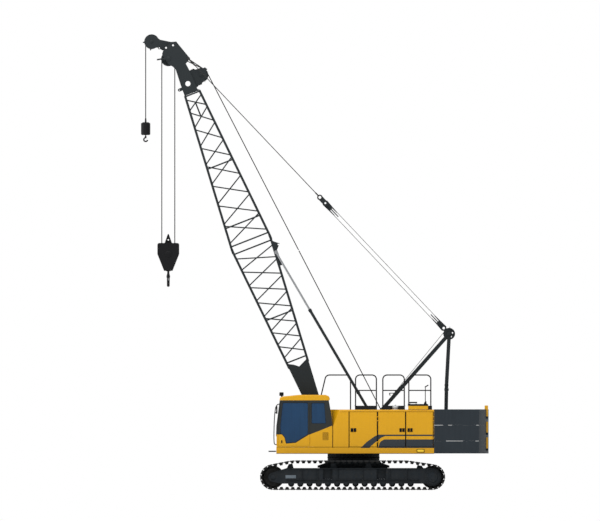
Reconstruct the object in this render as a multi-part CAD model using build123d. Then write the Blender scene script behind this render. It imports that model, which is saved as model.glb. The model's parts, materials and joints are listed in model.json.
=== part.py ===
from build123d import *
from math import asin, atan2, cos, degrees, hypot, pi, radians, sin
import os

os.makedirs("parts", exist_ok=True)

# Crawler crane with a two-piece lattice boom.
# All sizes are millimetres. +X is forward, +Y is the driver's left, +Z is up.
# Heights are from the ground. Lengths along X are from the slewing axis until the last step,
# which shifts the whole machine so that the origin is under the middle of its box.

# Clearances
SEAT = 0.3          # between two pieces bolted or resting on each other
PIN_PLAY = 0.3      # between a pin and its bore, on the radius
RUN = 8.0           # between a moving piece and what stands beside it
RACE_PLAY = 0.5     # between the two races of the slewing bearing
WHEEL_PLAY = 9.0    # between an end wheel and the path of the shoes
CARRIER_PLAY = 3.0  # between a carrier and the path of the shoes

# Crawler tracks
GAUGE = 3540.0              # between the middles of the two tracks
SHOE_WIDTH = 760.0
WHEEL_FRONT_X = 2582.0      # idler
WHEEL_REAR_X = -2525.0      # drive sprocket
WHEEL_WIDTH = 250.0
TRACK_END_R = 413.0         # over the shoes, round the end wheels
TRACK_TOP_Z = 950.0         # over the shoes, on the upper run
TOP_RUN_FRONT_X = 1960.0
TOP_RUN_REAR_X = -1700.0
CARRIER_R = 240.0           # bend of the upper run where it leaves the carriers
SHOE_PITCH = 182.0
SHOE_LENGTH = 152.0         # of one shoe's outer face, along the track
SHOE_DEPTH = 100.0          # from the outer face to the path that the rollers run on
SHOE_PLATE = 46.0           # depth of the part that has the shoe's full width
SHOE_PATH = 80.0            # length of one shoe's path
PATH_WIDTH = 320.0
HINGE_DEPTHS = (14.0, 32.0)     # the lugs that join two shoes lie between these depths

# Track frames and their rollers
FRAME_BOTTOM_Z = 203.0
FRAME_TOP_Z = 703.0
FRAME_WIDTH = 420.0
NOSE_R = 150.0              # round the idler's axle
HUB_R = 290.0               # final drive, round the sprocket's axle
HUB_COVER = (250.0, 24.0)       # radius, and how far it stands out of the frame
DRIVE_MOTOR = (190.0, 130.0)    # the same, on the inner side
WHEEL_POCKET = (150.0, 333.0)   # half width, and reach from the wheel's axis
ROLLER_CHANNEL = (156.0, 323.0)     # half width, and height of its ceiling
ROLLER_COUNT = 14
ROLLER_FIRST_X = 1995.0
ROLLER_PITCH = 294.0
ROLLER_R = 100.0
ROLLER_Z = SHOE_DEPTH + SEAT + ROLLER_R
ROLLER_WIDTH = 300.0
ROLLER_SHAFT = (32.0, 12.0)     # radius, and how far it stands out of the frame
ROLLER_LUG_R = 64.0
CARRIER_POST_X = (2026.0, 640.0, -480.0, -2128.0)
CARRIER_HALF = (70.0, 110.0)    # half length of a carrier at its top and at its foot

# Carbody and slewing ring
BEAM_X = (824.0, -888.0)    # the two cross beams that carry the track frames
BEAM_LENGTH = 300.0         # along X
BEAM_Z = (345.0, 690.0)
BEAM_RECESS = 110.0         # from the frame's outer face to the beam's end
CARBODY_TOP_Z = 928.0
CARBODY_HALF_TOP = 900.0
CARBODY_HALF_LOW = 1150.0
CARBODY_HALF_Y = 1150.0
RING_R = 830.0
RING_BORE = 560.0
RING_TOP_Z = 1040.0
DECK_Z = 1158.0             # underside of the upper frame
DECK_TOP_Z = 1290.0

# Upperworks
HOUSE_HALF_Y = 1600.0
LANE_HALF_Y = 720.0         # half of the open lane between the two houses
HOUSE_REAR_X = -2576.0
HOUSE_FRONT_X = 672.0       # behind the cab
RIGHT_FRONT_X = 1260.0
SKIRT_FRONT_X = 2470.0
SKIRT_TOP_Z = 1366.0
HOUSE_TOP_Z = 2576.0
HOUSE_EDGE_R = 70.0         # rounding of the roof's outer edge
PANEL = 40.0                # thickness of a house wall or door
SEAM_DEPTH = 15.0           # of the groove between skirt and house
CORNER = ((445.0, 1600.0, 2576.0), (672.0, 1300.0, 2576.0), (672.0, 1600.0, 1978.0))     # slanted face behind the cab
STEP = (2717.0, 1238.0, 16.0)   # front edge, height and thickness of the step before the cab
STEP_Y = (880.0, 1500.0)
GIRDER_Y = (450.0, 650.0)
GIRDER_TOP_Z = 1560.0
GIRDER_FRONT_X = 1250.0
GIRDER_REAR_X = -3350.0

# House doors: name, side, x of the hinge, x of the free edge
HOUSE_DOORS = (
    ("house_door_left_front", 1, -746.0, 128.0),
    ("house_door_left_middle", 1, -790.0, -1650.0),
    ("house_door_left_rear", 1, -2536.0, -1686.0),
    ("house_door_right_front", -1, -40.0, 1100.0),
    ("house_door_right_rear", -1, -1180.0, -2400.0),
)
DOOR_Z = (1392.0, 2500.0)
HOUSE_HINGE_Z = (1550.0, 2230.0)
DOOR_GAP = 6.0          # round a door, above and below
DOOR_SIDE_GAP = 10.0    # from a house door's nominal edge to the wall
DOOR_TRIM = 2.0         # from a house door's nominal edge to the panel
HINGE_OUT = 8.0         # hinge axis outside the panel's face
HINGE_IN = 8.0          # and inside the panel's edge
KNUCKLE_R = 9.0
KNUCKLE_LENGTH = 100.0
HINGE_PIN_R = 5.0

# Roofs: walkways, hood, air cleaner and handrails
WALKWAY_Z = 2688.0          # top of the raised walkways
WALKWAY_Y = (1050.0, 1560.0)
LEFT_WALKWAYS = ((-45.0, -752.0), (-918.0, -1184.0), (-1446.0, -1645.0), (-2396.0, -2512.0))    # front, rear
HOOD = ((-1748.0, -2384.0), (1040.0, 1590.0), 2746.0)     # along X, along Y, top
AIR_CLEANER = (-1340.0, 1300.0, 102.0)      # x, y, radius
RAILS = ((-65.0, -732.0), (-938.0, -1625.0), (-1770.0, -2473.0))   # x of the front and of the rear post
RAIL_IN = 20.0              # a post stands this far inside its walkway's end
RAIL_R = 20.0
RAIL_BEND = 140.0
RAIL_TOP_Z = 3680.0
RAIL_MID_Z = 3187.0
RAIL_Y = 1530.0
FRONT_RAIL = (1141.0, 880.0, 96.0)      # x of its foot, of the bend above it and of the rear post

# Boom, in its own plane: u runs from the foot pin towards the head, v towards the rear side
BOOM_ANGLE = 68.6
FOOT_X = 912.0
FOOT_Z = 1856.0
FOOT_PIN_R = 55.0
FOOT_BOSS_R = 155.0
FOOT_Y = 550.0              # middle of each foot plate, and of the chords up to the joint
FOOT_PLATE = 44.0
FOOT_BOSS = 84.0            # width of the boss round the pin
FOOT_PLATE_U = 2440.0       # where the plates give way to the lattice
FOOT_PLATE_HALF = 335.0
JOINT_U = 6480.0
BUTT_TOP_U = 6350.0
JOINT_HALF = 645.0          # half of the boom's depth at the joint, to the chord's middle
TOP_FOOT_U = 6610.0
HEAD_U = 11640.0
HEAD_HALF = 240.0
HEAD_Y = 330.0              # middle of the chords at the head
CHORD_R = 38.0
LACE_R = 20.0
BRACE_R = 24.0
LACE_SPREAD = 34.0          # half of the gap between two laces at one station
LACE_INSET = 21.0           # a lace ends this far from its chord's middle
BUTT_STATIONS = (2650.0, 3115.0, 3610.0, 4118.0, 4673.0, 5209.0, 5760.0, 6225.0)
BUTT_FRAMES = (2500.0, 4007.0, BUTT_TOP_U)
TOP_STATIONS = (6690.0, 7330.0, 8011.0, 8668.0, 9320.0, 9932.0, 10550.0, 11110.0, 11540.0)
TOP_FRAMES = (TOP_FOOT_U, 7220.0, 9200.0, 11620.0)
BOOM_LUG = (6132.0, 800.0, 26.0)    # hole in the lug on each rear chord: u, v, radius

# Boom head, in the boom's plane
HEAD_FOOT_U = 11650.0
HEAD_PLATE = 30.0
HEAD_BORE = (11978.0, -18.0)
HEAD_BORE_R = 83.0
HEAD_LUG = (11887.0, -346.0)
HEAD_LUG_R = (50.0, 14.0)       # outside, hole
HEAD_OUTLINE = (
    (HEAD_FOOT_U, -HEAD_HALF - 20), (12041.0, -248.0), (12561.0, -216.0), (12685.0, -287.0), (12777.0, -372.0),
    (13094.0, -436.0), (13165.0, -443.0), (13243.0, -378.0), (13424.0, -49.0), (13372.0, 126.0),
    (12710.0, 341.0), (12620.0, 203.0), (12604.0, 155.0), (12353.0, 184.0), (HEAD_FOOT_U + 60, 205.0),
    (HEAD_FOOT_U, HEAD_HALF + 20),
)
MAIN_SHEAVE = (12943.0, -314.0)
MAIN_SHEAVE_R = 208.0       # to the rope's middle
MAIN_FALL_Y = (-150.0, -50.0, 50.0, 150.0)
GUIDE_SHEAVE = (12079.0, 479.0)
GUIDE_SHEAVE_R = 205.0
GUIDE_Y = 120.0
GUIDE_BRACKET = (
    (12350.0, 165.0), (12366.0, 316.0), (12312.0, 374.0), (12303.0, 477.0), (12267.0, 604.0), (12267.0, 683.0),
    (12186.0, 731.0), (12134.0, 662.0), (11964.0, 657.0), (11915.0, 624.0), (11857.0, 492.0), (11840.0, 423.0),
    (11792.0, 387.0), (11799.0, 280.0), (11771.0, 238.0), (11771.0, 180.0),
)
BRACKET_Y = (200.0, 220.0)
PENDANT_PIN = (12716.0, 292.0)
ROPE_R = 15.0
RIM = 24.0                  # sheave flange over the rope's middle

# Tip jib, in the boom's plane
JIB_SHEAVE = (13653.0, -609.0)
JIB_SHEAVE_R = 190.0
JIB_SHAFT_R = 32.0
JIB_Y = (92.0, 110.0)
JIB_PINS = ((13302.0, -250.0), (13296.0, -14.0))
JIB_PIN_R = (42.0, 30.0)        # the pins are tubes: outside, bore
JIB_EYE_R = 60.0
JIB_OUTLINE = (
    (13236.0, -330.0), (13236.0, 45.0), (13375.0, 45.0), (13441.0, -67.0), (13640.0, -375.0),
    JIB_SHEAVE, (13430.0, -560.0), (13400.0, -490.0), (13278.0, -398.0),
)
JIB_GUARD_R = 237.0
JIB_TIPS = ((13735.0, -879.0), (13404.0, -745.0))
JIB_HOLE = (13376.0, -453.0)
JIB_HOLE_R = (45.0, 20.0)       # lug, hole

# Hooks
BLOCK_TOP_Z = 7904.0
BLOCK_HALF = 349.0
BLOCK_SIDE_Z = 7549.0
BLOCK_LOW_Z = 7014.0
BLOCK_LOW_HALF = 136.0
BLOCK_EYE_Z = 8192.0
BLOCK_HOLE = (8004.0, 24.0)     # in the eye: height, radius
BLOCK_THICK = 420.0
HOOK_TIP_Z = 6499.0
AUX_TOP_Z = 11904.0
AUX_WEIGHT_Z = (11357.0, 11770.0)
AUX_WEIGHT_R = 149.0
AUX_TIP_Z = 11130.0
HOOK_SWEEP = 262.0          # degrees that a hook's bowl turns from its shank to its tip
HOOK_NECK = ((0.36, 0.8), (0.5, 1.35), (0.42, 1.8), (0.3, 2.2))    # radius, height, in bowl radii

# Gantry
LEG_FOOT = (-250.0, 1825.0)
GANTRY_HEAD = (-3062.0, 4998.0)
LEG_Y = 505.0
LEG_WIDTH = 100.0
LEG_DEPTH = 122.0
LEG_HEAD = (50.0, 142.0)    # round plate on top of a leg: ahead of the shaft, radius
LINK_FOOT = (-2947.0, 1700.0)
LINK_KNEE = (-2976.0, 3357.0)
LINK_KNEE_BORE = 24.0
LINK_Y = 605.0
LINK_BAR = (46.0, 130.0)    # across, along X
GANTRY_PIN_R = 30.0
GANTRY_SHAFT_R = 40.0
GANTRY_SHEAVE_R = 165.0
GANTRY_SHEAVE_Y = (-170.0, -60.0, 60.0, 170.0)
SHEAVE_WINDOWS = (5, 163.0, 109.0, 24.0)    # count, degrees to the first, radius they lie on, their radius

# Luffing tackle: distances run from a pin along the line to the boom head
TACKLE_PIN = (-2886.0, 5181.0)
TACKLE_PIN_R = (50.0, 40.0)     # a tube: outside, bore
TACKLE_SHEAVE_R = 68.0
TACKLE_SHAFT_R = 30.0
TACKLE_ROPE_Y = (60.0, 170.0)
TACKLE_ROPE_R = 8.0
SPREADER_Y = (240.0, 260.0)     # side plates of both spreaders
SPREADER_SHEAVES = 178.0        # from the spreader's pin
SPREADER_FORK = (
    (-60.0, 60.0), (-20.0, 100.0), (270.0, 84.0), (488.0, 76.0), (488.0, 50.0),
    (280.0, 43.0), (280.0, 17.0), (603.0, 15.0),
)       # half outline of a side plate with its three prongs: distance, half depth
UPPER_PIN_BACK = 255.0          # the upper spreader's pin below the pendants' eye
UPPER_PIN_R = (44.0, 30.0)
PENDANT_Y = 395.0
PENDANT_LENGTH = 6112.0
PENDANT_R = 13.0
PENDANT_LUG_R = 89.0
PENDANT_LUG_HALF = 12.0     # half thickness of the travelling block's lugs
PENDANT_CHEEK_R = 76.0
PENDANT_EYE_HALF = 14.0
PENDANT_PIN_R = (54.0, 46.0)

# Backstops
STOP_FOOT = (-432.0, 2640.0)
STOP_HEAD = (5930.0, 640.0)     # in the boom's plane
STOP_Y = 632.0
STOP_TUBE_R = 45.0
STOP_TUBE_BORE = 36.0
STOP_ROD_R = 33.0
STOP_TUBE_LENGTH = 3650.0
STOP_ROD_LENGTH = 3300.0
STOP_PIN_R = 22.0
STOP_EYE_HALF = 22.0        # half thickness of the rod's flattened end
STOP_FLAT = 180.0           # height of the flattened end

# Winches
DRUM = (-964.0, 1831.0)
DRUM_R = 260.0              # to the rope's middle
DRUM_FLANGE_R = 370.0
DRUM_Y = (24.0, 420.0)
LUFF_DRUM = (-230.0, 2105.0)
LUFF_DRUM_R = 200.0
LUFF_DRUM_HALF = 260.0
STAND = 16.0                # thickness of a bearing stand
SHAFT_R = 45.0

# Counterweight
TAIL_R = 4323.0
TAIL_NOTCH_X = -3520.0
TAIL_NOTCH_Y = 760.0
TAIL_Z = (1168.0, 1568.0, 2074.0, 2582.0)

# Cab
CAB_Y = (700.0, 1600.0)
CAB_FLOOR_Z = 1380.0
CAB_WALL = 50.0
CAB_FOOT_X = (860.0, 2250.0)    # rubber feet between deck and cab
CAB_FOOT_Y = (830.0, 1410.0)
CAB_FOOT_R = 60.0
CAB_ROOF_Z = 2870.0
CAB_PILLAR_X = 1402.0       # the door hangs here
CAB_HINGE_Z = (1560.0, 2560.0)
CAB_OUTLINE = (
    (2464.0, CAB_FLOOR_Z), (2464.0, 2090.0), (2362.0, CAB_ROOF_Z),
    (790.0, CAB_ROOF_Z), (694.0, 2314.0), (680.0, 2070.0), (680.0, CAB_FLOOR_Z),
)
CAB_ROOF = (
    (2372.0, CAB_ROOF_Z + SEAT), (2352.0, 2960.0), (2250.0, 2996.0), (1750.0, 3046.0),
    (900.0, 3046.0), (800.0, 3010.0), (758.0, 2940.0), (766.0, CAB_ROOF_Z + SEAT),
)
CAB_ROOF_EDGE_R = 38.0
CAB_DOOR = (
    (2412.0, 1410.0), (2412.0, 2084.0), (2320.0, 2815.0), (CAB_PILLAR_X, 2815.0), (CAB_PILLAR_X, 1410.0),
)
CAB_DOOR_WINDOW = (
    (2160.0, 1505.0), (2208.0, 1690.0), (2290.0, 1795.0), (2344.0, 1800.0), (2344.0, 2090.0), (2268.0, 2797.0),
    (1456.0, 2797.0), (1456.0, 1785.0), (1658.0, 1655.0), (1853.0, 1532.0), (2100.0, 1505.0),
)
CAB_QUARTER = ((1345.0, 2125.0), (1345.0, 2790.0), (930.0, 2790.0), (880.0, 2125.0))
CAB_RIGHT_WINDOW = ((2300.0, 1880.0), (2380.0, 2134.0), (2295.0, 2790.0), (1460.0, 2790.0), (1460.0, 1880.0))
WINDSCREEN_Z = (1776.0, 2790.0)
WINDSCREEN_IN = 80.0        # from the cab's side to the windscreen's edge
REAR_WINDOW_Z = (2600.0, 2780.0)
REAR_WINDOW_IN = 130.0
WINDOW_R = 25.0             # corner rounding of the side windows
RECESS = ((806.0, 986.0), (1597.0, 1843.0), 12.0)      # on the left side: along X, heights, depth
GLASS = 8.0


def block(x, y, z):
    """A box between two values on each axis."""
    low = (min(x), min(y), min(z))
    size = (abs(x[1] - x[0]), abs(y[1] - y[0]), abs(z[1] - z[0]))
    return Pos(*low) * Box(*size, align=(Align.MIN, Align.MIN, Align.MIN))


def rod(start, end, radius):
    """A round bar between two points."""
    a, b = Vector(*start), Vector(*end)
    plane = Plane(origin=a, z_dir=(b - a).normalized())
    return Solid.make_cylinder(radius, (b - a).length, plane)


def plate(outline, y, corner=0.0):
    """A flat plate whose outline lies in the side plane, from one y to another."""
    points = [(x, min(y), z) for x, z in outline]
    edge = FilletPolyline(*points, radius=corner, close=True) if corner else Polyline(*points, close=True)
    return extrude(make_face(edge), abs(y[1] - y[0]), dir=(0, 1, 0))


def shrunk(outline, inset):
    """The outline with every edge moved inwards, or outwards by a negative inset."""
    places = list(zip(outline[-1:] + outline[:-1], outline, outline[1:] + outline[:1]))
    area = sum(before[0] * here[1] - here[0] * before[1] for before, here, _ in places)
    step = inset if area > 0 else -inset
    points = []
    for before, here, after in places:
        a, b = hypot(here[0] - before[0], here[1] - before[1]), hypot(after[0] - here[0], after[1] - here[1])
        ax, az = (here[0] - before[0]) / a, (here[1] - before[1]) / a
        bx, bz = (after[0] - here[0]) / b, (after[1] - here[1]) / b
        bend = 1 + ax * bx + az * bz
        points.append((here[0] - step * (az + bz) / bend, here[1] + step * (ax + bx) / bend))
    return tuple(points)


def disc(centre, radius, y):
    """A round plate across the machine, about a point of the side plane."""
    return rod((centre[0], y[0], centre[1]), (centre[0], y[1], centre[1]), radius)


def both_sides(solid):
    """The piece and its mirror image on the other side of the machine."""
    return [solid, mirror(solid, Plane.XZ)]


def fuse(first, *others):
    result = first
    for other in others:
        result = result + other
    return result


def on_boom_fused(pieces):
    """Stands the boom's pieces one by one and welds them into one solid."""
    placed = [boom_place(piece) for piece in pieces]
    return placed[0].fuse(*placed[1:])


def on_boom(u, v):
    """A point of the boom's plane as (x, z) of the machine at rest."""
    tilt = radians(BOOM_ANGLE)
    return FOOT_X + u * cos(tilt) - v * sin(tilt), FOOT_Z + u * sin(tilt) + v * cos(tilt)


def boom_place(shape):
    """Stands a shape that was drawn with the boom lying along +X."""
    return Pos(FOOT_X, 0, FOOT_Z) * Rot(0, -BOOM_ANGLE, 0) * shape


# Crawler tracks

def belt_circles(inset):
    """The four circles that the track wraps, front idler first, going over the top."""
    top = TRACK_TOP_Z - CARRIER_R
    return (
        (WHEEL_FRONT_X, TRACK_END_R, TRACK_END_R - inset),
        (TOP_RUN_FRONT_X, top, CARRIER_R - inset),
        (TOP_RUN_REAR_X, top, CARRIER_R - inset),
        (WHEEL_REAR_X, TRACK_END_R, TRACK_END_R - inset),
    )


def belt_path():
    """The outer line of the track as runs: (length, start point, heading, turn radius or 0)."""
    circles = belt_circles(0.0)
    tangents = []
    for here, after in zip(circles, circles[1:] + circles[:1]):
        dx, dz = after[0] - here[0], after[1] - here[1]
        gap = hypot(dx, dz)
        heading = atan2(dz, dx) + asin((here[2] - after[2]) / gap)
        tangents.append(heading)
    runs = []
    for i, (here, after) in enumerate(zip(circles, circles[1:] + circles[:1])):
        before, heading = tangents[i - 1], tangents[i]
        turn = (heading - before) % (2 * pi)
        start = (here[0] + here[2] * sin(before), here[1] - here[2] * cos(before))
        runs.append((turn * here[2], start, before, here[2]))
        leave = (here[0] + here[2] * sin(heading), here[1] - here[2] * cos(heading))
        arrive = (after[0] + after[2] * sin(heading), after[1] - after[2] * cos(heading))
        runs.append((hypot(arrive[0] - leave[0], arrive[1] - leave[1]), leave, heading, 0.0))
    return runs


def belt_point(runs, along, depth):
    """The point at a distance along the track, this deep inside its outer line."""
    for length, start, heading, radius in runs:
        if along <= length:
            break
        along -= length
    if radius:
        turned = heading + along / radius
        cx, cz = start[0] - radius * sin(heading), start[1] + radius * cos(heading)
        out = (sin(turned), -cos(turned))
        return cx + (radius - depth) * out[0], cz + (radius - depth) * out[1]
    x, z = start[0] + along * cos(heading), start[1] + along * sin(heading)
    return x - depth * sin(heading), z + depth * cos(heading)


def belt_along(runs, x):
    """How far along the track its upper run passes this x."""
    along = runs[0][0]
    while belt_point(runs, along, 0)[0] > x:
        along += 1.0
    return along


def ring_edge(runs, steps):
    """One edge of the track's outline, the same on every shoe.

    steps: distance from the shoe's end and depth below its outer face, towards its middle
    """
    total = sum(run[0] for run in runs)
    count = round(total / SHOE_PITCH)
    points = []
    for i in range(count):
        middle = (i + 0.5) * total / count
        start, end = middle - SHOE_LENGTH / 2, middle + SHOE_LENGTH / 2
        points += [belt_point(runs, start + inset, depth) for inset, depth in steps]
        points += [belt_point(runs, end - inset, depth) for inset, depth in reversed(steps)]
    return points


def track(side):
    """Chain and shoes as one loop: wide plates outside, and inside a narrow path on tapered blocks."""
    runs = belt_path()
    near, far = HINGE_DEPTHS
    middle = side * GAUGE / 2
    wide = (middle - SHOE_WIDTH / 2, middle + SHOE_WIDTH / 2)
    narrow = (middle - PATH_WIDTH / 2, middle + PATH_WIDTH / 2)
    outer = ring_edge(runs, ((0, near), (5, 0)))
    inner = ring_edge(runs, ((0, far), (12, SHOE_PLATE)))
    shoes = plate(outer, wide) - plate(inner, (wide[0] - 1, wide[1] + 1))
    skin = ring_edge(runs, ((0, near + 4),))
    path = ring_edge(runs, ((0, far), (16, SHOE_PLATE), ((SHOE_LENGTH - SHOE_PATH) / 2, SHOE_DEPTH)))
    blocks = plate(skin, narrow) - plate(path, (narrow[0] - 1, narrow[1] + 1))
    return [shoes + blocks]


def roller_places():
    return [(ROLLER_FIRST_X - i * ROLLER_PITCH, ROLLER_Z) for i in range(ROLLER_COUNT)]


def track_frame(side):
    """Box girder with wheel pockets, roller channel and lugs, carriers and the final drive."""
    middle = side * GAUGE / 2
    half = FRAME_WIDTH / 2
    wide = (middle - half, middle + half)
    through = (wide[0] - 1, wide[1] + 1)
    front, rear, axis = WHEEL_FRONT_X, WHEEL_REAR_X, TRACK_END_R
    outline = (
        (front, axis - NOSE_R), (front, axis + NOSE_R), (front - 246, FRAME_TOP_Z - 63), (front - 446, FRAME_TOP_Z),
        (rear, FRAME_TOP_Z), (rear, axis), (rear + 200, FRAME_BOTTOM_Z), (front - 252, FRAME_BOTTOM_Z),
    )
    outside, inside = middle + side * half, middle - side * half
    frame = plate(outline, wide) + [
        disc((front, axis), NOSE_R, wide),
        disc((rear, axis), HUB_R, wide),
        disc((rear, axis), HUB_COVER[0], (outside - side * 5, outside + side * HUB_COVER[1])),
        disc((rear, axis), DRIVE_MOTOR[0], (inside + side * 5, inside - side * DRIVE_MOTOR[1])),
    ]
    pocket, reach = WHEEL_POCKET
    for x, away in ((front, 1), (rear, -1)):
        frame = frame - block((x - away * reach, x + away * 2 * reach), (middle - pocket, middle + pocket),
                              (0, TRACK_TOP_Z))
    channel, ceiling = ROLLER_CHANNEL
    frame = frame - block((front - reach + 1, rear + reach - 1), (middle - channel, middle + channel), (0, ceiling))
    frame = frame - disc((front, axis), SHAFT_R + PIN_PLAY, through)
    frame = frame - disc((rear, axis), SHAFT_R + PIN_PLAY, (wide[0] + 6, wide[1] - 6))
    for x in BEAM_X:
        frame = frame - block((x - BEAM_LENGTH / 2 - SEAT, x + BEAM_LENGTH / 2 + SEAT), through,
                              (BEAM_Z[0] - SEAT, BEAM_Z[1] + SEAT))
    webs = ((wide[0], middle - channel), (middle + channel, wide[1]))
    frame = frame + [disc(place, ROLLER_LUG_R, web) for place in roller_places() for web in webs]
    frame = frame - [disc(place, ROLLER_SHAFT[0] + PIN_PLAY, through) for place in roller_places()]
    runs = belt_path()
    top, foot = CARRIER_HALF
    for x in CARRIER_POST_X:
        along = belt_along(runs, x)
        edges = [belt_point(runs, along + step, SHOE_DEPTH + CARRIER_PLAY) for step in (-top, top)]
        post = [(x + foot, FRAME_TOP_Z - 5)] + edges + [(x - foot, FRAME_TOP_Z - 5)]
        frame = frame + plate(post, (middle - 90, middle + 90))
    return [frame]


def end_wheel_profile(outer, width):
    """Half section of an end wheel with a guide groove between two treads."""
    return [(0, -width / 2), (outer - 26, -width / 2), (outer, -width / 2 + 20), (outer, -46),
            (outer - 38, -32), (outer - 38, 32), (outer, 46), (outer, width / 2 - 20),
            (outer - 26, width / 2), (0, width / 2)]


def turned(profile, centre, middle):
    """A wheel turned from (radius, offset) pairs, its axle across the machine."""
    face = make_face(Polyline(*[(r, 0, t) for r, t in profile], close=True))
    wheel = Rot(0, 0, 90) * revolve(face, Axis.Z)
    return Pos(centre[0], middle, centre[1]) * Rot(-90, 0, 0) * wheel


def track_wheels():
    """Idlers, drive sprockets and lower rollers, each with its shaft."""
    solids = []
    half = FRAME_WIDTH / 2
    wheel = end_wheel_profile(TRACK_END_R - SHOE_DEPTH - WHEEL_PLAY, WHEEL_WIDTH)
    edge = ROLLER_WIDTH / 2
    roller = [(0, -edge), (ROLLER_R - 18, -edge), (ROLLER_R, 30 - edge), (ROLLER_R, edge - 30),
              (ROLLER_R - 18, edge), (0, edge)]
    for side in (1, -1):
        middle = side * GAUGE / 2
        # columns: centre, profile, radius of the shaft, how far it reaches past the frame's faces
        table = [((WHEEL_FRONT_X, TRACK_END_R), wheel, SHAFT_R, 30.0)]
        table += [((WHEEL_REAR_X, TRACK_END_R), wheel, SHAFT_R, -7.0)]
        table += [(place, roller, *ROLLER_SHAFT) for place in roller_places()]
        for centre, profile, shaft_r, past in table:
            shaft = disc(centre, shaft_r, (middle - half - past, middle + half + past))
            solids.append(turned(profile, centre, middle) + shaft)
    return solids


# Carbody

def carbody():
    """Centre box with a stepped top and the two cross beams."""
    low, high = FRAME_TOP_Z + 10, CARBODY_TOP_Z
    hump = plate(((CARBODY_HALF_LOW, low), (CARBODY_HALF_LOW, low + 70), (CARBODY_HALF_TOP, high - 60),
                  (CARBODY_HALF_TOP - 60, high), (-CARBODY_HALF_TOP + 60, high),
                  (-CARBODY_HALF_TOP, high - 60), (-CARBODY_HALF_LOW, low + 70), (-CARBODY_HALF_LOW, low)),
                 (-CARBODY_HALF_Y, CARBODY_HALF_Y))
    box = block((-CARBODY_HALF_LOW + 60, CARBODY_HALF_LOW - 60), (-CARBODY_HALF_Y, CARBODY_HALF_Y),
                (BEAM_Z[0], low + 1))
    body = hump + box
    reach = GAUGE / 2 + FRAME_WIDTH / 2 - BEAM_RECESS
    for x in BEAM_X:
        body = body + block((x - BEAM_LENGTH / 2, x + BEAM_LENGTH / 2), (-reach, reach), BEAM_Z)
    well = Pos(0, 0, CARBODY_TOP_Z - 180) * Cylinder(RING_BORE, 400, align=(Align.CENTER, Align.CENTER, Align.MIN))
    return [body - well]


def slew_ring():
    """Lower race of the slewing bearing, bolted on the carbody."""
    height = RING_TOP_Z - CARBODY_TOP_Z - SEAT
    outer = Cylinder(RING_R, height, align=(Align.CENTER, Align.CENTER, Align.MIN))
    bore = Cylinder(RING_BORE, height, align=(Align.CENTER, Align.CENTER, Align.MIN))
    return [Pos(0, 0, CARBODY_TOP_Z + SEAT) * (outer - bore)]


# Upper frame

def upper_frame():
    """Deck plate, upper race, girders, lugs, winch stands and the backstops' posts."""
    deck = block((SKIRT_FRONT_X - 60, HOUSE_REAR_X), (-HOUSE_HALF_Y + PANEL + SEAT, HOUSE_HALF_Y - PANEL - SEAT),
                 (DECK_Z + 20, DECK_TOP_Z))
    race_z = RING_TOP_Z + RACE_PLAY
    race = Pos(0, 0, race_z) * Cylinder(RING_R, DECK_Z + 25 - race_z, align=(Align.CENTER, Align.CENTER, Align.MIN))
    step_x, step_z, thick = STEP
    step = block((SKIRT_FRONT_X - 70, step_x), STEP_Y, (step_z - thick / 2, step_z + thick / 2))
    step = step - block((SKIRT_FRONT_X - 60, step_x - 90), (STEP_Y[0] + 60, STEP_Y[1] - 60), (step_z - 20, step_z + 20))
    frame = deck + race + step
    for x in CAB_FOOT_X:
        for y in CAB_FOOT_Y:
            frame = frame + rod((x, y, DECK_TOP_Z - 5), (x, y, CAB_FLOOR_Z - SEAT), CAB_FOOT_R)
    for side in (1, -1):
        inner, outer = side * GIRDER_Y[0], side * GIRDER_Y[1]
        frame = frame + block((GIRDER_FRONT_X, GIRDER_REAR_X), (inner, outer), (DECK_TOP_Z - 110, GIRDER_TOP_Z))
        boss_in, boss_out = FOOT_Y - FOOT_BOSS / 2 - 6, FOOT_Y + FOOT_BOSS / 2 + 6
        lug = ((FOOT_X + 300, GIRDER_TOP_Z - 5), (FOOT_X + 130, FOOT_Z + 60), (FOOT_X - 130, FOOT_Z + 60),
               (FOOT_X - 360, GIRDER_TOP_Z - 5))
        for y in ((side * GIRDER_Y[0], side * boss_in), (side * boss_out, side * GIRDER_Y[1])):
            frame = frame + plate(lug, y) + disc((FOOT_X, FOOT_Z), 143, y)
        frame = frame + disc((FOOT_X, FOOT_Z), FOOT_PIN_R, (inner, outer))
    frame = frame + gantry_seats() + stop_posts() + winch_stands()
    return [frame]


def gantry_seats():
    """Lugs for the gantry's front legs and rear links, with their pins."""
    seats = []
    leg_in, leg_out = LEG_Y - LEG_WIDTH / 2 - 6, LEG_Y + LEG_WIDTH / 2 + 6
    link_in, link_out = LINK_Y - LINK_BAR[0] / 2 - 5, LINK_Y + LINK_BAR[0] / 2 + 5
    # columns: pin point, half length of the lug at its base, inner gap edge, outer gap edge, ear
    table = ((LEG_FOOT, 170, leg_in, leg_out, 20), (LINK_FOOT, 130, link_in, link_out, 17))
    for (x, z), base, gap_in, gap_out, ear in table:
        lug = ((x + base, GIRDER_TOP_Z - 5), (x + 75, z + 20), (x - 75, z + 20), (x - base, GIRDER_TOP_Z - 5))
        for side in (1, -1):
            for y in ((gap_in - ear, gap_in), (gap_out, gap_out + ear)):
                seats.append(plate(lug, (side * y[0], side * y[1])) + disc((x, z), 78, (side * y[0], side * y[1])))
            seats.append(disc((x, z), GANTRY_PIN_R, (side * (gap_in - ear), side * (gap_out + ear))))
    return seats


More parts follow.
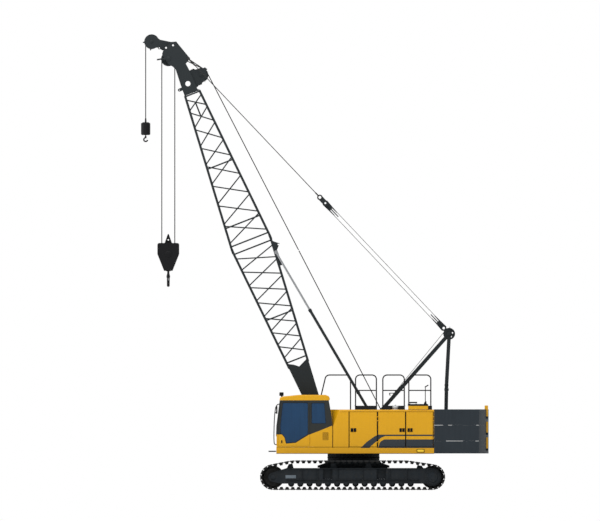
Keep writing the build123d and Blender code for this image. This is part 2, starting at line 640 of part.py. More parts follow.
def stop_posts():
    """Posts on the girders that carry the feet of the two backstops."""
    x, z = STOP_FOOT
    post = ((x + 150, GIRDER_TOP_Z - 5), (x + 60, z), (x - 60, z), (x - 150, GIRDER_TOP_Z - 5))
    gap = STOP_TUBE_R + 10
    pieces = []
    for side in (1, -1):
        for y in ((STOP_Y - gap - 14, STOP_Y - gap), (STOP_Y + gap, STOP_Y + gap + 14)):
            pieces.append(plate(post, (side * y[0], side * y[1])) + disc((x, z), 60, (side * y[0], side * y[1])))
        pieces.append(block((x - 110, x + 110), (side * (STOP_Y - gap - 14), side * (STOP_Y + gap + 14)),
                            (GIRDER_TOP_Z - 5, GIRDER_TOP_Z + 25)))
        pieces.append(disc((x, z), STOP_PIN_R, (side * (STOP_Y - gap - 14), side * (STOP_Y + gap + 14))))
    return pieces


def winch_stands():
    """Bearing stands of the hoist drums and of the luffing drum, with their fixed shafts."""
    stands = []
    # columns: drum centre, the y where each stand begins
    table = ((DRUM, (-DRUM_Y[1] - 6 - STAND, -STAND / 2, DRUM_Y[1] + 6)),
             (LUFF_DRUM, (-LUFF_DRUM_HALF - 6 - STAND, LUFF_DRUM_HALF + 6)))
    for (x, z), starts in table:
        side_view = ((x + 260, DECK_TOP_Z - 5), (x + 80, z + 30), (x - 80, z + 30), (x - 260, DECK_TOP_Z - 5))
        for y in starts:
            stands.append(plate(side_view, (y, y + STAND)) + disc((x, z), 82, (y, y + STAND)))
        stands.append(disc((x, z), SHAFT_R, (starts[0], starts[-1] + STAND)))
    return stands


def drum(centre, radius, rope, flange, y):
    """A rope drum: core between two flanges, bored for its shaft; radius is to the rope's middle."""
    low, high = min(y), max(y)
    core = radius - rope - SEAT
    profile = [(SHAFT_R + PIN_PLAY, low), (flange, low), (flange, low + 22), (core, low + 22),
               (core, high - 22), (flange, high - 22), (flange, high), (SHAFT_R + PIN_PLAY, high)]
    face = make_face(Polyline(*[(r, t, 0) for r, t in profile], close=True))
    return [Pos(centre[0], 0, centre[1]) * revolve(face, Axis.Y)]


def sheave(centre, radius, middle, width, bore, rope=ROPE_R):
    """A rope sheave with a V groove, and a dished web where there is room for one."""
    hub, dish = bore + 26, radius - 26
    web = [(hub, 1.0), (hub + 8, 0.4), (dish - 8, 0.4), (dish, 1.0)] if dish > hub + 30 else []
    # columns: radius, share of the half width
    edge = [(bore, 1.0)] + web + [(radius + RIM, 1.0), (radius - rope - SEAT, 0.4)]
    profile = [(r, middle - share * width / 2) for r, share in edge]
    profile += [(r, middle + share * width / 2) for r, share in reversed(edge)]
    face = make_face(Polyline(*[(r, t, 0) for r, t in profile], close=True))
    return Pos(centre[0], 0, centre[1]) * revolve(face, Axis.Y)


# Houses

def knuckle(x, y, z):
    """The door's half of a hinge: a short tube about the pin."""
    bore = rod((x, y, z - 1), (x, y, z + KNUCKLE_LENGTH + 1), HINGE_PIN_R + PIN_PLAY)
    return rod((x, y, z), (x, y, z + KNUCKLE_LENGTH), KNUCKLE_R) - bore


def hinge_seat(x, face, z, away):
    """The wall's half of a hinge: pin, a knuckle at each end and a leaf on the wall's face.

    face is the wall's outer y, away is 1 where the door lies towards +X of its hinge, else -1
    """
    out = 1 if face > 0 else -1
    y = face + out * HINGE_OUT
    end, top = 24, z + KNUCKLE_LENGTH
    pieces = [rod((x, y, z - end), (x, y, top + end), HINGE_PIN_R)]
    for low, high in ((z - end, z - 1), (top + 1, top + end)):
        pieces.append(rod((x, y, low), (x, y, high), KNUCKLE_R - 2))
        pieces.append(block((x, x - away * 38), (face + out * 3, y), (low, high)))
        pieces.append(block((x - away * 22, x - away * 38), (face - out * 2, y), (low, high)))
    return pieces


def under_corner(shape, depth):
    """What lies under the slanted corner behind the cab, this deep below its face."""
    a, b, c = [Vector(*point) for point in CORNER]
    out = (b - a).cross(c - a).normalized()
    face = Plane(origin=a - out * depth, x_dir=b - a, z_dir=out)
    return split(shape, bisect_by=face, keep=Keep.BOTTOM)


def house(side, front):
    """One machine house: outer wall, roof, ends and inner wall, open underneath."""
    outer, inner = side * HOUSE_HALF_Y, side * LANE_HALF_Y
    shell = block((front, HOUSE_REAR_X), (inner, outer), (SKIRT_TOP_Z - 60, HOUSE_TOP_Z))
    long_edges = shell.edges().filter_by(Axis.X).sort_by(Axis.Z)[-2:]
    shell = fillet([edge for edge in long_edges if abs(edge.center().Y) > LANE_HALF_Y + 10], HOUSE_EDGE_R)
    hollow = block((front - PANEL, HOUSE_REAR_X + PANEL), (inner + side * PANEL, outer - side * PANEL),
                   (SKIRT_TOP_Z - 100, HOUSE_TOP_Z - PANEL))
    if front == HOUSE_FRONT_X:
        shell, hollow = under_corner(shell, 0.0), under_corner(hollow, PANEL)
    seam = block((front + 1, HOUSE_REAR_X - 1), (outer + side, outer - side * SEAM_DEPTH), (SKIRT_TOP_Z, CAB_FLOOR_Z))
    shell = shell - hollow - seam
    for _, door_side, hinge, free in HOUSE_DOORS:
        if door_side == side:
            low, high = min(hinge, free) - DOOR_SIDE_GAP, max(hinge, free) + DOOR_SIDE_GAP
            shell = shell - block((low, high), (outer - side * (PANEL + 5), outer + side * 5),
                                  (DOOR_Z[0] - DOOR_GAP, DOOR_Z[1] + DOOR_GAP))
    for _, door_side, hinge, free in HOUSE_DOORS:
        if door_side == side:
            away = 1 if free > hinge else -1
            for z in HOUSE_HINGE_Z:
                shell = shell + hinge_seat(hinge + away * (DOOR_TRIM + HINGE_IN), outer, z, away)
    skirt = block((SKIRT_FRONT_X, HOUSE_REAR_X), (outer, outer - side * PANEL), (DECK_Z, SKIRT_TOP_Z))
    ledge = block((SKIRT_FRONT_X, HOUSE_REAR_X), (outer, outer - side * 120), (DECK_TOP_Z + SEAT, DECK_TOP_Z + 20))
    foot = block((front, HOUSE_REAR_X), (inner, inner + side * PANEL), (DECK_TOP_Z + SEAT, SKIRT_TOP_Z - 50))
    return [shell + skirt + ledge + foot]


def house_door(side, hinge, free):
    """A door panel with its hinge barrels outside the hinge edge."""
    outer = side * HOUSE_HALF_Y
    away = 1 if free > hinge else -1
    panel = block((hinge + away * DOOR_TRIM, free - away * DOOR_TRIM), (outer - side * PANEL, outer), DOOR_Z)
    x, y = hinge + away * (DOOR_TRIM + HINGE_IN), outer + side * HINGE_OUT
    return [fuse(panel, *[knuckle(x, y, z) for z in HOUSE_HINGE_Z])]


# Engine and things on the roofs

def engine_block():
    bearer = block((-2300, -900), (-1450, -850), (DECK_TOP_Z + SEAT, DECK_TOP_Z + 80))
    return [bearer + block((-2250, -950), (-1420, -880), (DECK_TOP_Z + 75, 2330))]


def walkways():
    """Raised gratings along both houses; the left ones leave room for the hood and the air cleaner."""
    z = (HOUSE_TOP_Z + SEAT, WALKWAY_Z)
    left = [block(ends, WALKWAY_Y, z) for ends in LEFT_WALKWAYS]
    right = [block((front + RAIL_IN, rear - RAIL_IN), (-WALKWAY_Y[0], -WALKWAY_Y[1]), z) for front, rear in RAILS]
    return left + right


def roof_hood():
    """Low cover between two walkways of the left house."""
    cover = block(HOOD[0], HOOD[1], (HOUSE_TOP_Z + SEAT, HOOD[2]))
    return [fillet(cover.faces().sort_by(Axis.Z)[-1].edges(), 8)]


def air_cleaner():
    """Round housing with a domed lid."""
    x, y, radius = AIR_CLEANER
    profile = [(0, 0), (radius, 0), (radius, 74), (radius - 9, 96), (radius - 32, 120), (radius - 66, 134), (0, 138)]
    face = make_face(Polyline(*[(r, 0, t) for r, t in profile], close=True))
    return [Pos(x, y, HOUSE_TOP_Z + SEAT) * revolve(face, Axis.Z)]


def rail_tube(points):
    """A tube bent round the corners of a line."""
    path = FilletPolyline(*points, radius=RAIL_BEND)
    return sweep(Plane(origin=path @ 0, z_dir=path % 0) * Circle(RAIL_R), path=path)


def handrails():
    """Bent frames with a middle bar on the walkways, and a plain one ahead of them on the right."""
    frames = []
    for side in (1, -1):
        y = side * RAIL_Y
        for front, rear in RAILS:
            on_hood = side > 0 and rear < HOOD[0][1]
            foot = SEAT + (HOOD[2] if on_hood else WALKWAY_Z)
            rear_foot = WALKWAY_Z + SEAT
            frame = rail_tube(((front, y, foot), (front, y, RAIL_TOP_Z), (rear, y, RAIL_TOP_Z), (rear, y, rear_foot)))
            frames.append(frame + rod((front, y, RAIL_MID_Z), (rear, y, RAIL_MID_Z), RAIL_R * 0.9))
    y, foot = -RAIL_Y, HOUSE_TOP_Z + SEAT
    ahead, bend, behind = FRONT_RAIL
    frames.append(rail_tube(((ahead, y, foot + 5), (bend, y, RAIL_TOP_Z), (behind, y, RAIL_TOP_Z), (behind, y, foot))))
    return frames


# Counterweight

def counterweight():
    """Stacked slabs, U-shaped in plan, with the tail on an arc about the slewing axis."""
    slabs = []
    for low, high in zip(TAIL_Z, TAIL_Z[1:]):
        plan = block((HOUSE_REAR_X - SEAT, -TAIL_R - 10), (-HOUSE_HALF_Y, HOUSE_HALF_Y), (low + SEAT, high))
        swing = Pos(0, 0, low) * Cylinder(TAIL_R, high - low + 2, align=(Align.CENTER, Align.CENTER, Align.MIN))
        notch = block((HOUSE_REAR_X, TAIL_NOTCH_X), (-TAIL_NOTCH_Y, TAIL_NOTCH_Y), (low - 1, high + 1))
        slabs.append((plan & swing) - notch)
    return slabs


# Cab

def slanted_pane(shape, z, step, thick):
    """Outline of a pane that follows the cab's outline, this far inside it, between two heights.

    shape: the outline's points that the pane follows, from the lowest up
    """
    def at(height):
        for (x0, z0), (x1, z1) in zip(shape, shape[1:]):
            if height <= z1:
                return x0 + (x1 - x0) * (height - z0) / (z1 - z0)
    heights = [z[0]] + [point[1] for point in shape if z[0] < point[1] < z[1]] + [z[1]]
    face = [(at(height) + step, height) for height in heights]
    back = [(at(height) + step + thick, height) for height in reversed(heights)]
    return tuple(face + back)


def cab_shell():
    """Floor, rear wall, pillars and lower panels, with the windows and the doorway cut."""
    y0, y1 = CAB_Y
    left, right = (y1 - CAB_WALL - 5, y1 + 5), (y0 - 5, y0 + CAB_WALL + 5)
    shell = plate(CAB_OUTLINE, CAB_Y) - plate(shrunk(CAB_OUTLINE, CAB_WALL), (y0 + CAB_WALL, y1 - CAB_WALL))
    shell = shell - block((2250, 2560), (y0 + WINDSCREEN_IN, y1 - WINDSCREEN_IN), WINDSCREEN_Z)
    shell = shell - block((600, 900), (y0 + REAR_WINDOW_IN, y1 - REAR_WINDOW_IN), REAR_WINDOW_Z)
    for window, wall in ((CAB_QUARTER, left), (CAB_QUARTER, right), (CAB_RIGHT_WINDOW, right)):
        shell = shell - plate(window, wall, WINDOW_R)
    shell = shell - plate(shrunk(CAB_DOOR, -DOOR_GAP), left)
    along, heights, depth = RECESS
    shell = shell - block(along, (y1 - depth, y1 + 1), heights)
    for z in CAB_HINGE_Z:
        shell = shell + hinge_seat(CAB_PILLAR_X + HINGE_IN, y1, z, 1)
    return [shell]


def cab_door():
    y1 = CAB_Y[1]
    panel = plate(CAB_DOOR, (y1 - CAB_WALL, y1)) - plate(CAB_DOOR_WINDOW, (y1 - CAB_WALL - 5, y1 + 5), WINDOW_R)
    for z in CAB_HINGE_Z:
        panel = panel + knuckle(CAB_PILLAR_X + HINGE_IN, y1 + HINGE_OUT, z)
    return [panel]


def pane(window, y):
    """A pane with rounded corners that fills one side window."""
    return plate(shrunk(window, SEAT), (y, y + GLASS), WINDOW_R - SEAT)


def cab_door_glass():
    return [pane(CAB_DOOR_WINDOW, CAB_Y[1] - CAB_WALL / 2)]


def cab_roof():
    """Roof cap with rounded side edges, seated on the shell."""
    cap = plate(CAB_ROOF, CAB_Y)
    sides = [edge for edge in cap.edges() if edge.center().Z > CAB_ROOF_Z + 10 and edge.center().Y in CAB_Y]
    return [fillet(sides, CAB_ROOF_EDGE_R)]


def cab_glass():
    """Fixed panes: windscreen, rear window, both quarters and the right side."""
    y0, y1 = CAB_Y
    front = slanted_pane(CAB_OUTLINE[:3], (WINDSCREEN_Z[0] + SEAT, WINDSCREEN_Z[1] - SEAT), -32, GLASS)
    rear = slanted_pane(CAB_OUTLINE[:2:-1], (REAR_WINDOW_Z[0] + SEAT, REAR_WINDOW_Z[1] - SEAT), 22, GLASS)
    return [
        plate(front, (y0 + WINDSCREEN_IN + SEAT, y1 - WINDSCREEN_IN - SEAT)),
        plate(rear, (y0 + REAR_WINDOW_IN + SEAT, y1 - REAR_WINDOW_IN - SEAT)),
        pane(CAB_QUARTER, y1 - 30), pane(CAB_QUARTER, y0 + 22), pane(CAB_RIGHT_WINDOW, y0 + 22),
    ]


def cab_seat():
    """Driver's seat between two consoles, on the cab floor."""
    floor = 1430 + SEAT
    seat = plate(((1050, 1850), (1620, 1870), (1620, 1960), (1170, 1950), (1040, 2560), (930, 2560)), (930, 1370))
    base = block((1150, 1500), (1020, 1280), (floor, 1860))
    sides = [block((1150, 1700), y, (floor, 2020)) for y in ((780, 915), (1385, 1500))]
    return [seat + base] + sides


# Gantry

def bar(start, end, depth, y):
    """A flat-sided bar in the side plane between two points."""
    dx, dz = end[0] - start[0], end[1] - start[1]
    length = hypot(dx, dz)
    nx, nz = -dz / length * depth / 2, dx / length * depth / 2
    outline = ((start[0] + nx, start[1] + nz), (end[0] + nx, end[1] + nz),
               (end[0] - nx, end[1] - nz), (start[0] - nx, start[1] - nz))
    return plate(outline, y)


def gantry():
    """Front legs, rear links, their cross tubes and the head shaft."""
    y = (LEG_Y - LEG_WIDTH / 2, LEG_Y + LEG_WIDTH / 2)
    head = (GANTRY_HEAD[0] + LEG_HEAD[0], GANTRY_HEAD[1])
    leg = bar(LEG_FOOT, GANTRY_HEAD, LEG_DEPTH, y) + disc(LEG_FOOT, 70, y) + disc(head, LEG_HEAD[1], y)
    leg = leg - disc(LEG_FOOT, GANTRY_PIN_R + PIN_PLAY, (y[0] - 1, y[1] + 1))
    ear = (y[0], y[0] + 34)
    leg = leg + bar(GANTRY_HEAD, TACKLE_PIN, 130, ear) + disc(TACKLE_PIN, 70, ear)
    frame = fuse(*both_sides(leg), disc(GANTRY_HEAD, GANTRY_SHAFT_R, (-LINK_Y - 50, LINK_Y + 50)))
    for share in (0.42, 0.8):
        x = LEG_FOOT[0] + share * (GANTRY_HEAD[0] - LEG_FOOT[0])
        z = LEG_FOOT[1] + share * (GANTRY_HEAD[1] - LEG_FOOT[1])
        frame = frame + disc((x, z), 42, (-LEG_Y, LEG_Y))
    outside, bore = TACKLE_PIN_R
    frame = frame + disc(TACKLE_PIN, outside, (-ear[1], ear[1])) - disc(TACKLE_PIN, bore, (-ear[1] - 1, ear[1] + 1))
    across = (LINK_Y - LINK_BAR[0] / 2, LINK_Y + LINK_BAR[0] / 2)
    through = (across[0] - 1, across[1] + 1)
    x, z = LINK_KNEE
    link = bar(LINK_KNEE, GANTRY_HEAD, LINK_BAR[1] - 12, across) + bar(LINK_FOOT, LINK_KNEE, LINK_BAR[1] - 12, across)
    link = link + disc(GANTRY_HEAD, 80, across) + disc(LINK_KNEE, 66, across) + disc(LINK_FOOT, 70, across)
    link = link + block((x - 71, x + 71), across, (z - 180, z - 105))
    link = link - disc(LINK_FOOT, GANTRY_PIN_R + PIN_PLAY, through) - disc(LINK_KNEE, LINK_KNEE_BORE, through)
    link = link - disc(GANTRY_HEAD, GANTRY_SHAFT_R + PIN_PLAY, through)
    return [frame] + both_sides(link)


def gantry_sheaves():
    """Luffing rope sheaves on the head shaft, with windows in their webs."""
    count, first, reach, radius = SHEAVE_WINDOWS
    sheaves = []
    for y in GANTRY_SHEAVE_Y:
        wheel = sheave(GANTRY_HEAD, GANTRY_SHEAVE_R, y, 44, GANTRY_SHAFT_R + PIN_PLAY, TACKLE_ROPE_R)
        for i in range(count):
            turn = radians(first + i * 360 / count)
            centre = (GANTRY_HEAD[0] + reach * cos(turn), GANTRY_HEAD[1] + reach * sin(turn))
            wheel = wheel - disc(centre, radius, (y - 30, y + 30))
        sheaves.append(wheel)
    return sheaves


# Luffing tackle

def tackle_head():
    """The pendant pin at rest, as (x, z)."""
    return on_boom(*PENDANT_PIN)


def tackle_direction():
    head = tackle_head()
    dx, dz = head[0] - TACKLE_PIN[0], head[1] - TACKLE_PIN[1]
    length = hypot(dx, dz)
    return (dx / length, dz / length), length


def along_tackle(distance, offset=0.0):
    """A point on the line from the gantry's pin to the pendant pin, offset upwards."""
    (dx, dz), _ = tackle_direction()
    return TACKLE_PIN[0] + distance * dx - offset * dz, TACKLE_PIN[1] + distance * dz + offset * dx


def spreader(pin_at, way, pin_r):
    """Two forked side plates and the sheaves on their shaft, as solids that don't touch.

    pin_at is where the spreader's pin lies on the line, way is 1 if it points up it, else -1
    """
    outline = SPREADER_FORK + tuple((along, -offset) for along, offset in reversed(SPREADER_FORK))
    outline = [along_tackle(pin_at + way * along, offset) for along, offset in outline]
    pin, centre = along_tackle(pin_at), along_tackle(pin_at + way * SPREADER_SHEAVES)
    through = (SPREADER_Y[0] - 1, SPREADER_Y[1] + 1)
    side = plate(outline, SPREADER_Y) - disc(pin, pin_r + PIN_PLAY, through)
    side = side - disc(centre, TACKLE_SHAFT_R + PIN_PLAY, through)
    wheels = [sheave(centre, TACKLE_SHEAVE_R, way_y * y, 40, TACKLE_SHAFT_R - 1, TACKLE_ROPE_R)
              for y in TACKLE_ROPE_Y for way_y in (1, -1)]
    return both_sides(side) + [fuse(disc(centre, TACKLE_SHAFT_R, (-SPREADER_Y[1] - 6, SPREADER_Y[1] + 6)), *wheels)]


def lower_spreader():
    """Sheave block that hangs on the gantry's pin."""
    return spreader(0.0, 1, TACKLE_PIN_R[0])


def pendant_eye():
    """How far up the line the pendants' lower eyes lie."""
    return tackle_direction()[1] - PENDANT_LENGTH


def upper_spreader():
    """Travelling block: the same sheave block upside down, on a cross tube with the pendants' lugs."""
    eye = pendant_eye()
    beam, top = along_tackle(eye - UPPER_PIN_BACK), along_tackle(eye)
    reach = PENDANT_Y + PENDANT_LUG_HALF + 14
    tube = disc(beam, UPPER_PIN_R[0], (-reach, reach))
    for side in (1, -1):
        lug_y = (side * PENDANT_Y - PENDANT_LUG_HALF, side * PENDANT_Y + PENDANT_LUG_HALF)
        lug = bar(beam, top, 1.8 * PENDANT_LUG_R, lug_y) + disc(top, PENDANT_LUG_R, lug_y) + disc(beam, 88, lug_y)
        tube = tube + (lug - disc(top, PENDANT_PIN_R[0] + PIN_PLAY, (lug_y[0] - 1, lug_y[1] + 1)))
    tube = tube - disc(beam, UPPER_PIN_R[1], (-reach - 1, reach + 1))
    return spreader(eye - UPPER_PIN_BACK, -1, UPPER_PIN_R[0]) + [tube]


def pendants():
    """Two ropes with end sockets from the travelling block to the boom head."""
    eye, total = pendant_eye(), tackle_direction()[1]
    low, collar, high = [along_tackle(at) for at in (eye + 105, eye + 200, total - 190)]
    cheek = (PENDANT_LUG_HALF + SEAT, PENDANT_LUG_HALF + 12)
    solids = []
    for side in (1, -1):
        y = side * PENDANT_Y
        outside = (y - cheek[1], y + cheek[1])
        rope = rod((low[0], y, low[1]), (high[0], y, high[1]), PENDANT_R)
        socket = rod((low[0], y, low[1]), (collar[0], y, collar[1]), 22)
        end_y = (y - PENDANT_EYE_HALF, y + PENDANT_EYE_HALF)
        head = bar(along_tackle(total - 300), along_tackle(total), 50, end_y) + disc(along_tackle(total), 50, end_y)
        fork = [bar(along_tackle(eye), along_tackle(eye + 135), 44, (y + s * cheek[0], y + s * cheek[1]))
                + disc(along_tackle(eye), PENDANT_CHEEK_R, (y + s * cheek[0], y + s * cheek[1])) for s in (1, -1)]
        crotch = bar(along_tackle(eye + 100), along_tackle(eye + 135), 44, outside)
        piece = fuse(rope, socket, head, crotch, *fork, disc(along_tackle(eye), PENDANT_PIN_R[0], outside))
        solids.append(piece - disc(along_tackle(eye), PENDANT_PIN_R[1], (outside[0] - 1, outside[1] + 1)))
    return solids


def luffing_ropes():
    """The parts of rope between the two blocks."""
    start, end = SPREADER_SHEAVES, pendant_eye() - UPPER_PIN_BACK - SPREADER_SHEAVES
    ropes = []
    for y in TACKLE_ROPE_Y:
        for side in (1, -1):
            for offset in (TACKLE_SHEAVE_R, -TACKLE_SHEAVE_R):
                a, b = along_tackle(start, offset), along_tackle(end, offset)
                ropes.append(rod((a[0], side * y, a[1]), (b[0], side * y, b[1]), TACKLE_ROPE_R))
    return ropes


# Backstops

def stop_geometry():
    head = on_boom(*STOP_HEAD)
    dx, dz = head[0] - STOP_FOOT[0], head[1] - STOP_FOOT[1]
    length = hypot(dx, dz)
    return (dx / length, dz / length), length


def along_stop(distance):
    (dx, dz), _ = stop_geometry()
    return STOP_FOOT[0] + distance * dx, STOP_FOOT[1] + distance * dz


def backstop_tubes():
    low, high = along_stop(0), along_stop(STOP_TUBE_LENGTH)
    tube = rod((low[0], STOP_Y, low[1]), (high[0], STOP_Y, high[1]), STOP_TUBE_R)
    tube = tube + disc(STOP_FOOT, 52, (STOP_Y - STOP_TUBE_R, STOP_Y + STOP_TUBE_R))
    start = along_stop(140)
    over = along_stop(STOP_TUBE_LENGTH + 5)
    gland = along_stop(STOP_TUBE_LENGTH - 60)
    tube = tube - rod((start[0], STOP_Y, start[1]), (gland[0], STOP_Y, gland[1]), STOP_TUBE_BORE)
    tube = tube - rod((gland[0], STOP_Y, gland[1]), (over[0], STOP_Y, over[1]), STOP_ROD_R + PIN_PLAY)
    tube = tube - disc(STOP_FOOT, STOP_PIN_R + PIN_PLAY, (STOP_Y - 80, STOP_Y + 80))
    return both_sides(tube)


def backstop_rods():
    _, length = stop_geometry()
    low, high = along_stop(length - STOP_ROD_LENGTH), along_stop(length)
    half = STOP_EYE_HALF
    piece = rod((low[0], STOP_Y, low[1]), (high[0], STOP_Y, high[1]), STOP_ROD_R)
    for y in ((STOP_Y + half, STOP_Y + 60), (STOP_Y - 60, STOP_Y - half)):
        piece = piece - block((high[0] - 400, high[0] + 400), y, (high[1] - STOP_FLAT, high[1] + 200))
    piece = piece + disc(high, 58, (STOP_Y - half, STOP_Y + half))
    return both_sides(piece)


# Boom

def chord_point(half_low, u_low, y_low, half_high, u_high, y_high, corner, u):
    """A point on a chord. corner is (side, face), each 1 or -1."""
    share = (u - u_low) / (u_high - u_low)
    y = y_low + share * (y_high - y_low)
    v = half_low + share * (half_high - half_low)
    return u, corner[0] * y, corner[1] * v


CORNERS = ((1, 1), (1, -1), (-1, -1), (-1, 1))      # (side, face) round the section


def shortened(start, end, inset):
    """The two ends moved towards each other, so that each stays this far from its chord's middle."""
    a, b = Vector(*start), Vector(*end)
    along = (b - a).normalized()
    across = max((along.Y ** 2 + along.Z ** 2) ** 0.5, 0.5)
    step = along * (inset / across)
    return tuple(a + step), tuple(b - step)


def lattice(section, stations, frames, first_face):
    """Four chords, a zigzag of laces on every side and square frames across.

    section: half depth, u and half width at the lower end, then at the upper end
    stations: where the side laces meet the chords; those of the front and rear lie halfway
    frames: where a square frame stands
    first_face: the face (1 rear, -1 front) on which the left side's zigzag begins
    """
    low, high = section[1], section[4]
    chords = [rod(chord_point(*section, c, low), chord_point(*section, c, high), CHORD_R) for c in CORNERS]
    halfway = [(a + b) / 2 for a, b in zip(stations, stations[1:])]
    pieces = []
    # columns: stations, then the chord where each zigzag begins and the chord that it swings to
    zigzags = (
        (stations, (1, first_face), (1, -first_face)),
        (stations, (-1, -first_face), (-1, first_face)),
        (halfway, (1, 1), (-1, 1)),
        (halfway, (-1, -1), (1, -1)),
    )
    for places, here, there in zigzags:
        for u, after in zip(places, places[1:]):
            start = chord_point(*section, here, u + LACE_SPREAD)
            end = chord_point(*section, there, after - LACE_SPREAD)
            pieces.append(rod(*shortened(start, end, LACE_INSET), LACE_R))
            here, there = there, here
    for u in frames:
        for here, there in zip(CORNERS, CORNERS[1:] + CORNERS[:1]):
            start, end = chord_point(*section, here, u), chord_point(*section, there, u)
            pieces.append(rod(*shortened(start, end, BRACE_R + 1), BRACE_R))
    return chords, pieces


def boom_butt():
    """Lower section: plated foot with bosses, lattice, and forks for the joint pins."""
    section = (FOOT_PLATE_HALF - 14, FOOT_PLATE_U - 140, FOOT_Y, JOINT_HALF, BUTT_TOP_U + 60, FOOT_Y)
    chords, web = lattice(section, BUTT_STATIONS, BUTT_FRAMES, 1)
    half = FOOT_PLATE_HALF
    outline = ((0, -FOOT_BOSS_R), (FOOT_PLATE_U + 40, -half - 16), (FOOT_PLATE_U - 64, -152),
               (FOOT_PLATE_U - 184, -3), (FOOT_PLATE_U - 22, half + 16), (0, FOOT_BOSS_R))
    plates = []
    for side in (1, -1):
        y = (side * FOOT_Y - FOOT_PLATE / 2, side * FOOT_Y + FOOT_PLATE / 2)
        boss = (side * FOOT_Y - FOOT_BOSS / 2, side * FOOT_Y + FOOT_BOSS / 2)
        foot = plate(outline, y) + disc((0, 0), FOOT_BOSS_R - 12, boss) + disc((0, 0), FOOT_BOSS_R, y)
        plates.append(foot - disc((0, 0), FOOT_PIN_R + PIN_PLAY, (boss[0] - 1, boss[1] + 1)))
        lug_y = (side * (FOOT_Y + CHORD_R - 14), side * (STOP_Y - STOP_ROD_R - RUN))
        lug = ((6330.0, 640.0), (6150.0, 850.0), (5990.0, 700.0), (5480.0, 690.0), (5480.0, 560.0), (6330.0, 600.0))
        plates.append(plate(lug, lug_y) - disc(BOOM_LUG[:2], BOOM_LUG[2], (min(lug_y) - 1, max(lug_y) + 1)))
        plates.append(disc(STOP_HEAD, 50, (lug_y[0], side * (STOP_Y - STOP_EYE_HALF - SEAT))))
    plates.append(disc((1500.0, 0.0), 70, (-FOOT_Y, FOOT_Y)))
    plates.append(disc((2130.0, -40.0), 55, (-FOOT_Y, FOOT_Y)))
    return [on_boom_fused(chords + plates + web + joint_forks())]


def joint_forks():
    """Double lugs with a cross pin on each chord's upper end."""
    pieces = []
    for side, face in CORNERS:
        y, v = side * FOOT_Y, face * (JOINT_HALF + 2)
        for offset in (-34, 18):
            ear = block((BUTT_TOP_U + 30, JOINT_U + 44), (y + offset, y + offset + 16), (v - 42, v + 42))
            pieces.append(ear)
        pieces.append(disc((JOINT_U, v), 20, (y - 40, y + 40)))
    return pieces


def boom_top():
    """Upper section, tapering in depth and width up to the head."""
    section = (JOINT_HALF, TOP_FOOT_U - 40, FOOT_Y, HEAD_HALF, HEAD_U + 90, HEAD_Y)
    chords, web = lattice(section, TOP_STATIONS, TOP_FRAMES, 1)
    tongues = []
    for side, face in CORNERS:
        y, v = side * FOOT_Y, face * (JOINT_HALF + 2)
        tongue = block((JOINT_U - 44, TOP_FOOT_U + 20), (y - 16, y + 16), (v - 36, v + 36))
        tongues.append(tongue - disc((JOINT_U, v), 20 + PIN_PLAY, (y - 20, y + 20)))
    section_end = block((HEAD_FOOT_U - SEAT, HEAD_U + 300), (-600, 600), (-600, 600))
    return [on_boom_fused(chords + web + tongues) - boom_place(section_end)]


def boom_head():
    """Side plates with their cross plates, the main sheave shaft, the guide bracket and the jib's pins."""
    y = (HEAD_Y - HEAD_PLATE / 2, HEAD_Y + HEAD_PLATE / 2)
    through = (y[0] - 1, y[1] + 1)
    side = fuse(plate(HEAD_OUTLINE, y), bar((HEAD_LUG[0], -230.0), HEAD_LUG, 2 * HEAD_LUG_R[0], y),
                disc(HEAD_LUG, HEAD_LUG_R[0], y), disc(PENDANT_PIN, 52, (HEAD_Y, PENDANT_Y - PENDANT_EYE_HALF - SEAT)))
    side = side - disc(HEAD_BORE, HEAD_BORE_R, through) - disc(HEAD_LUG, HEAD_LUG_R[1], through)
    base = block((HEAD_FOOT_U, HEAD_FOOT_U + 30), (-HEAD_Y, HEAD_Y), (-HEAD_HALF - 20, HEAD_HALF + 20))
    rear = plate(((HEAD_FOOT_U + 8, 180.0), (HEAD_FOOT_U + 8, 203.0), (12345.0, 183.0), (12345.0, 160.0)),
                 (-HEAD_Y, HEAD_Y))
    body = fuse(*both_sides(side), base, rear, *both_sides(plate(GUIDE_BRACKET, BRACKET_Y)),
                disc(MAIN_SHEAVE, SHAFT_R, (-HEAD_Y, HEAD_Y)),
                disc(GUIDE_SHEAVE, SHAFT_R, (-BRACKET_Y[1], BRACKET_Y[1])))
    for pin in JIB_PINS:
        body = body + disc(pin, JIB_PIN_R[0], (-y[1], y[1])) - disc(pin, JIB_PIN_R[1], (-through[1], through[1]))
    return [boom_place(body)]


def fin(tip):
    """A pointed tab on the jib's round guard, out to its tip."""
    dx, dz = tip[0] - JIB_SHEAVE[0], tip[1] - JIB_SHEAVE[1]
    length = hypot(dx, dz)
    nx, nz = -dz / length, dx / length
    return [(JIB_SHEAVE[0] + 110 * nx, JIB_SHEAVE[1] + 110 * nz), (tip[0] + 12 * nx, tip[1] + 12 * nz),
            (tip[0] - 12 * nx, tip[1] - 12 * nz), (JIB_SHEAVE[0] - 110 * nx, JIB_SHEAVE[1] - 110 * nz)]


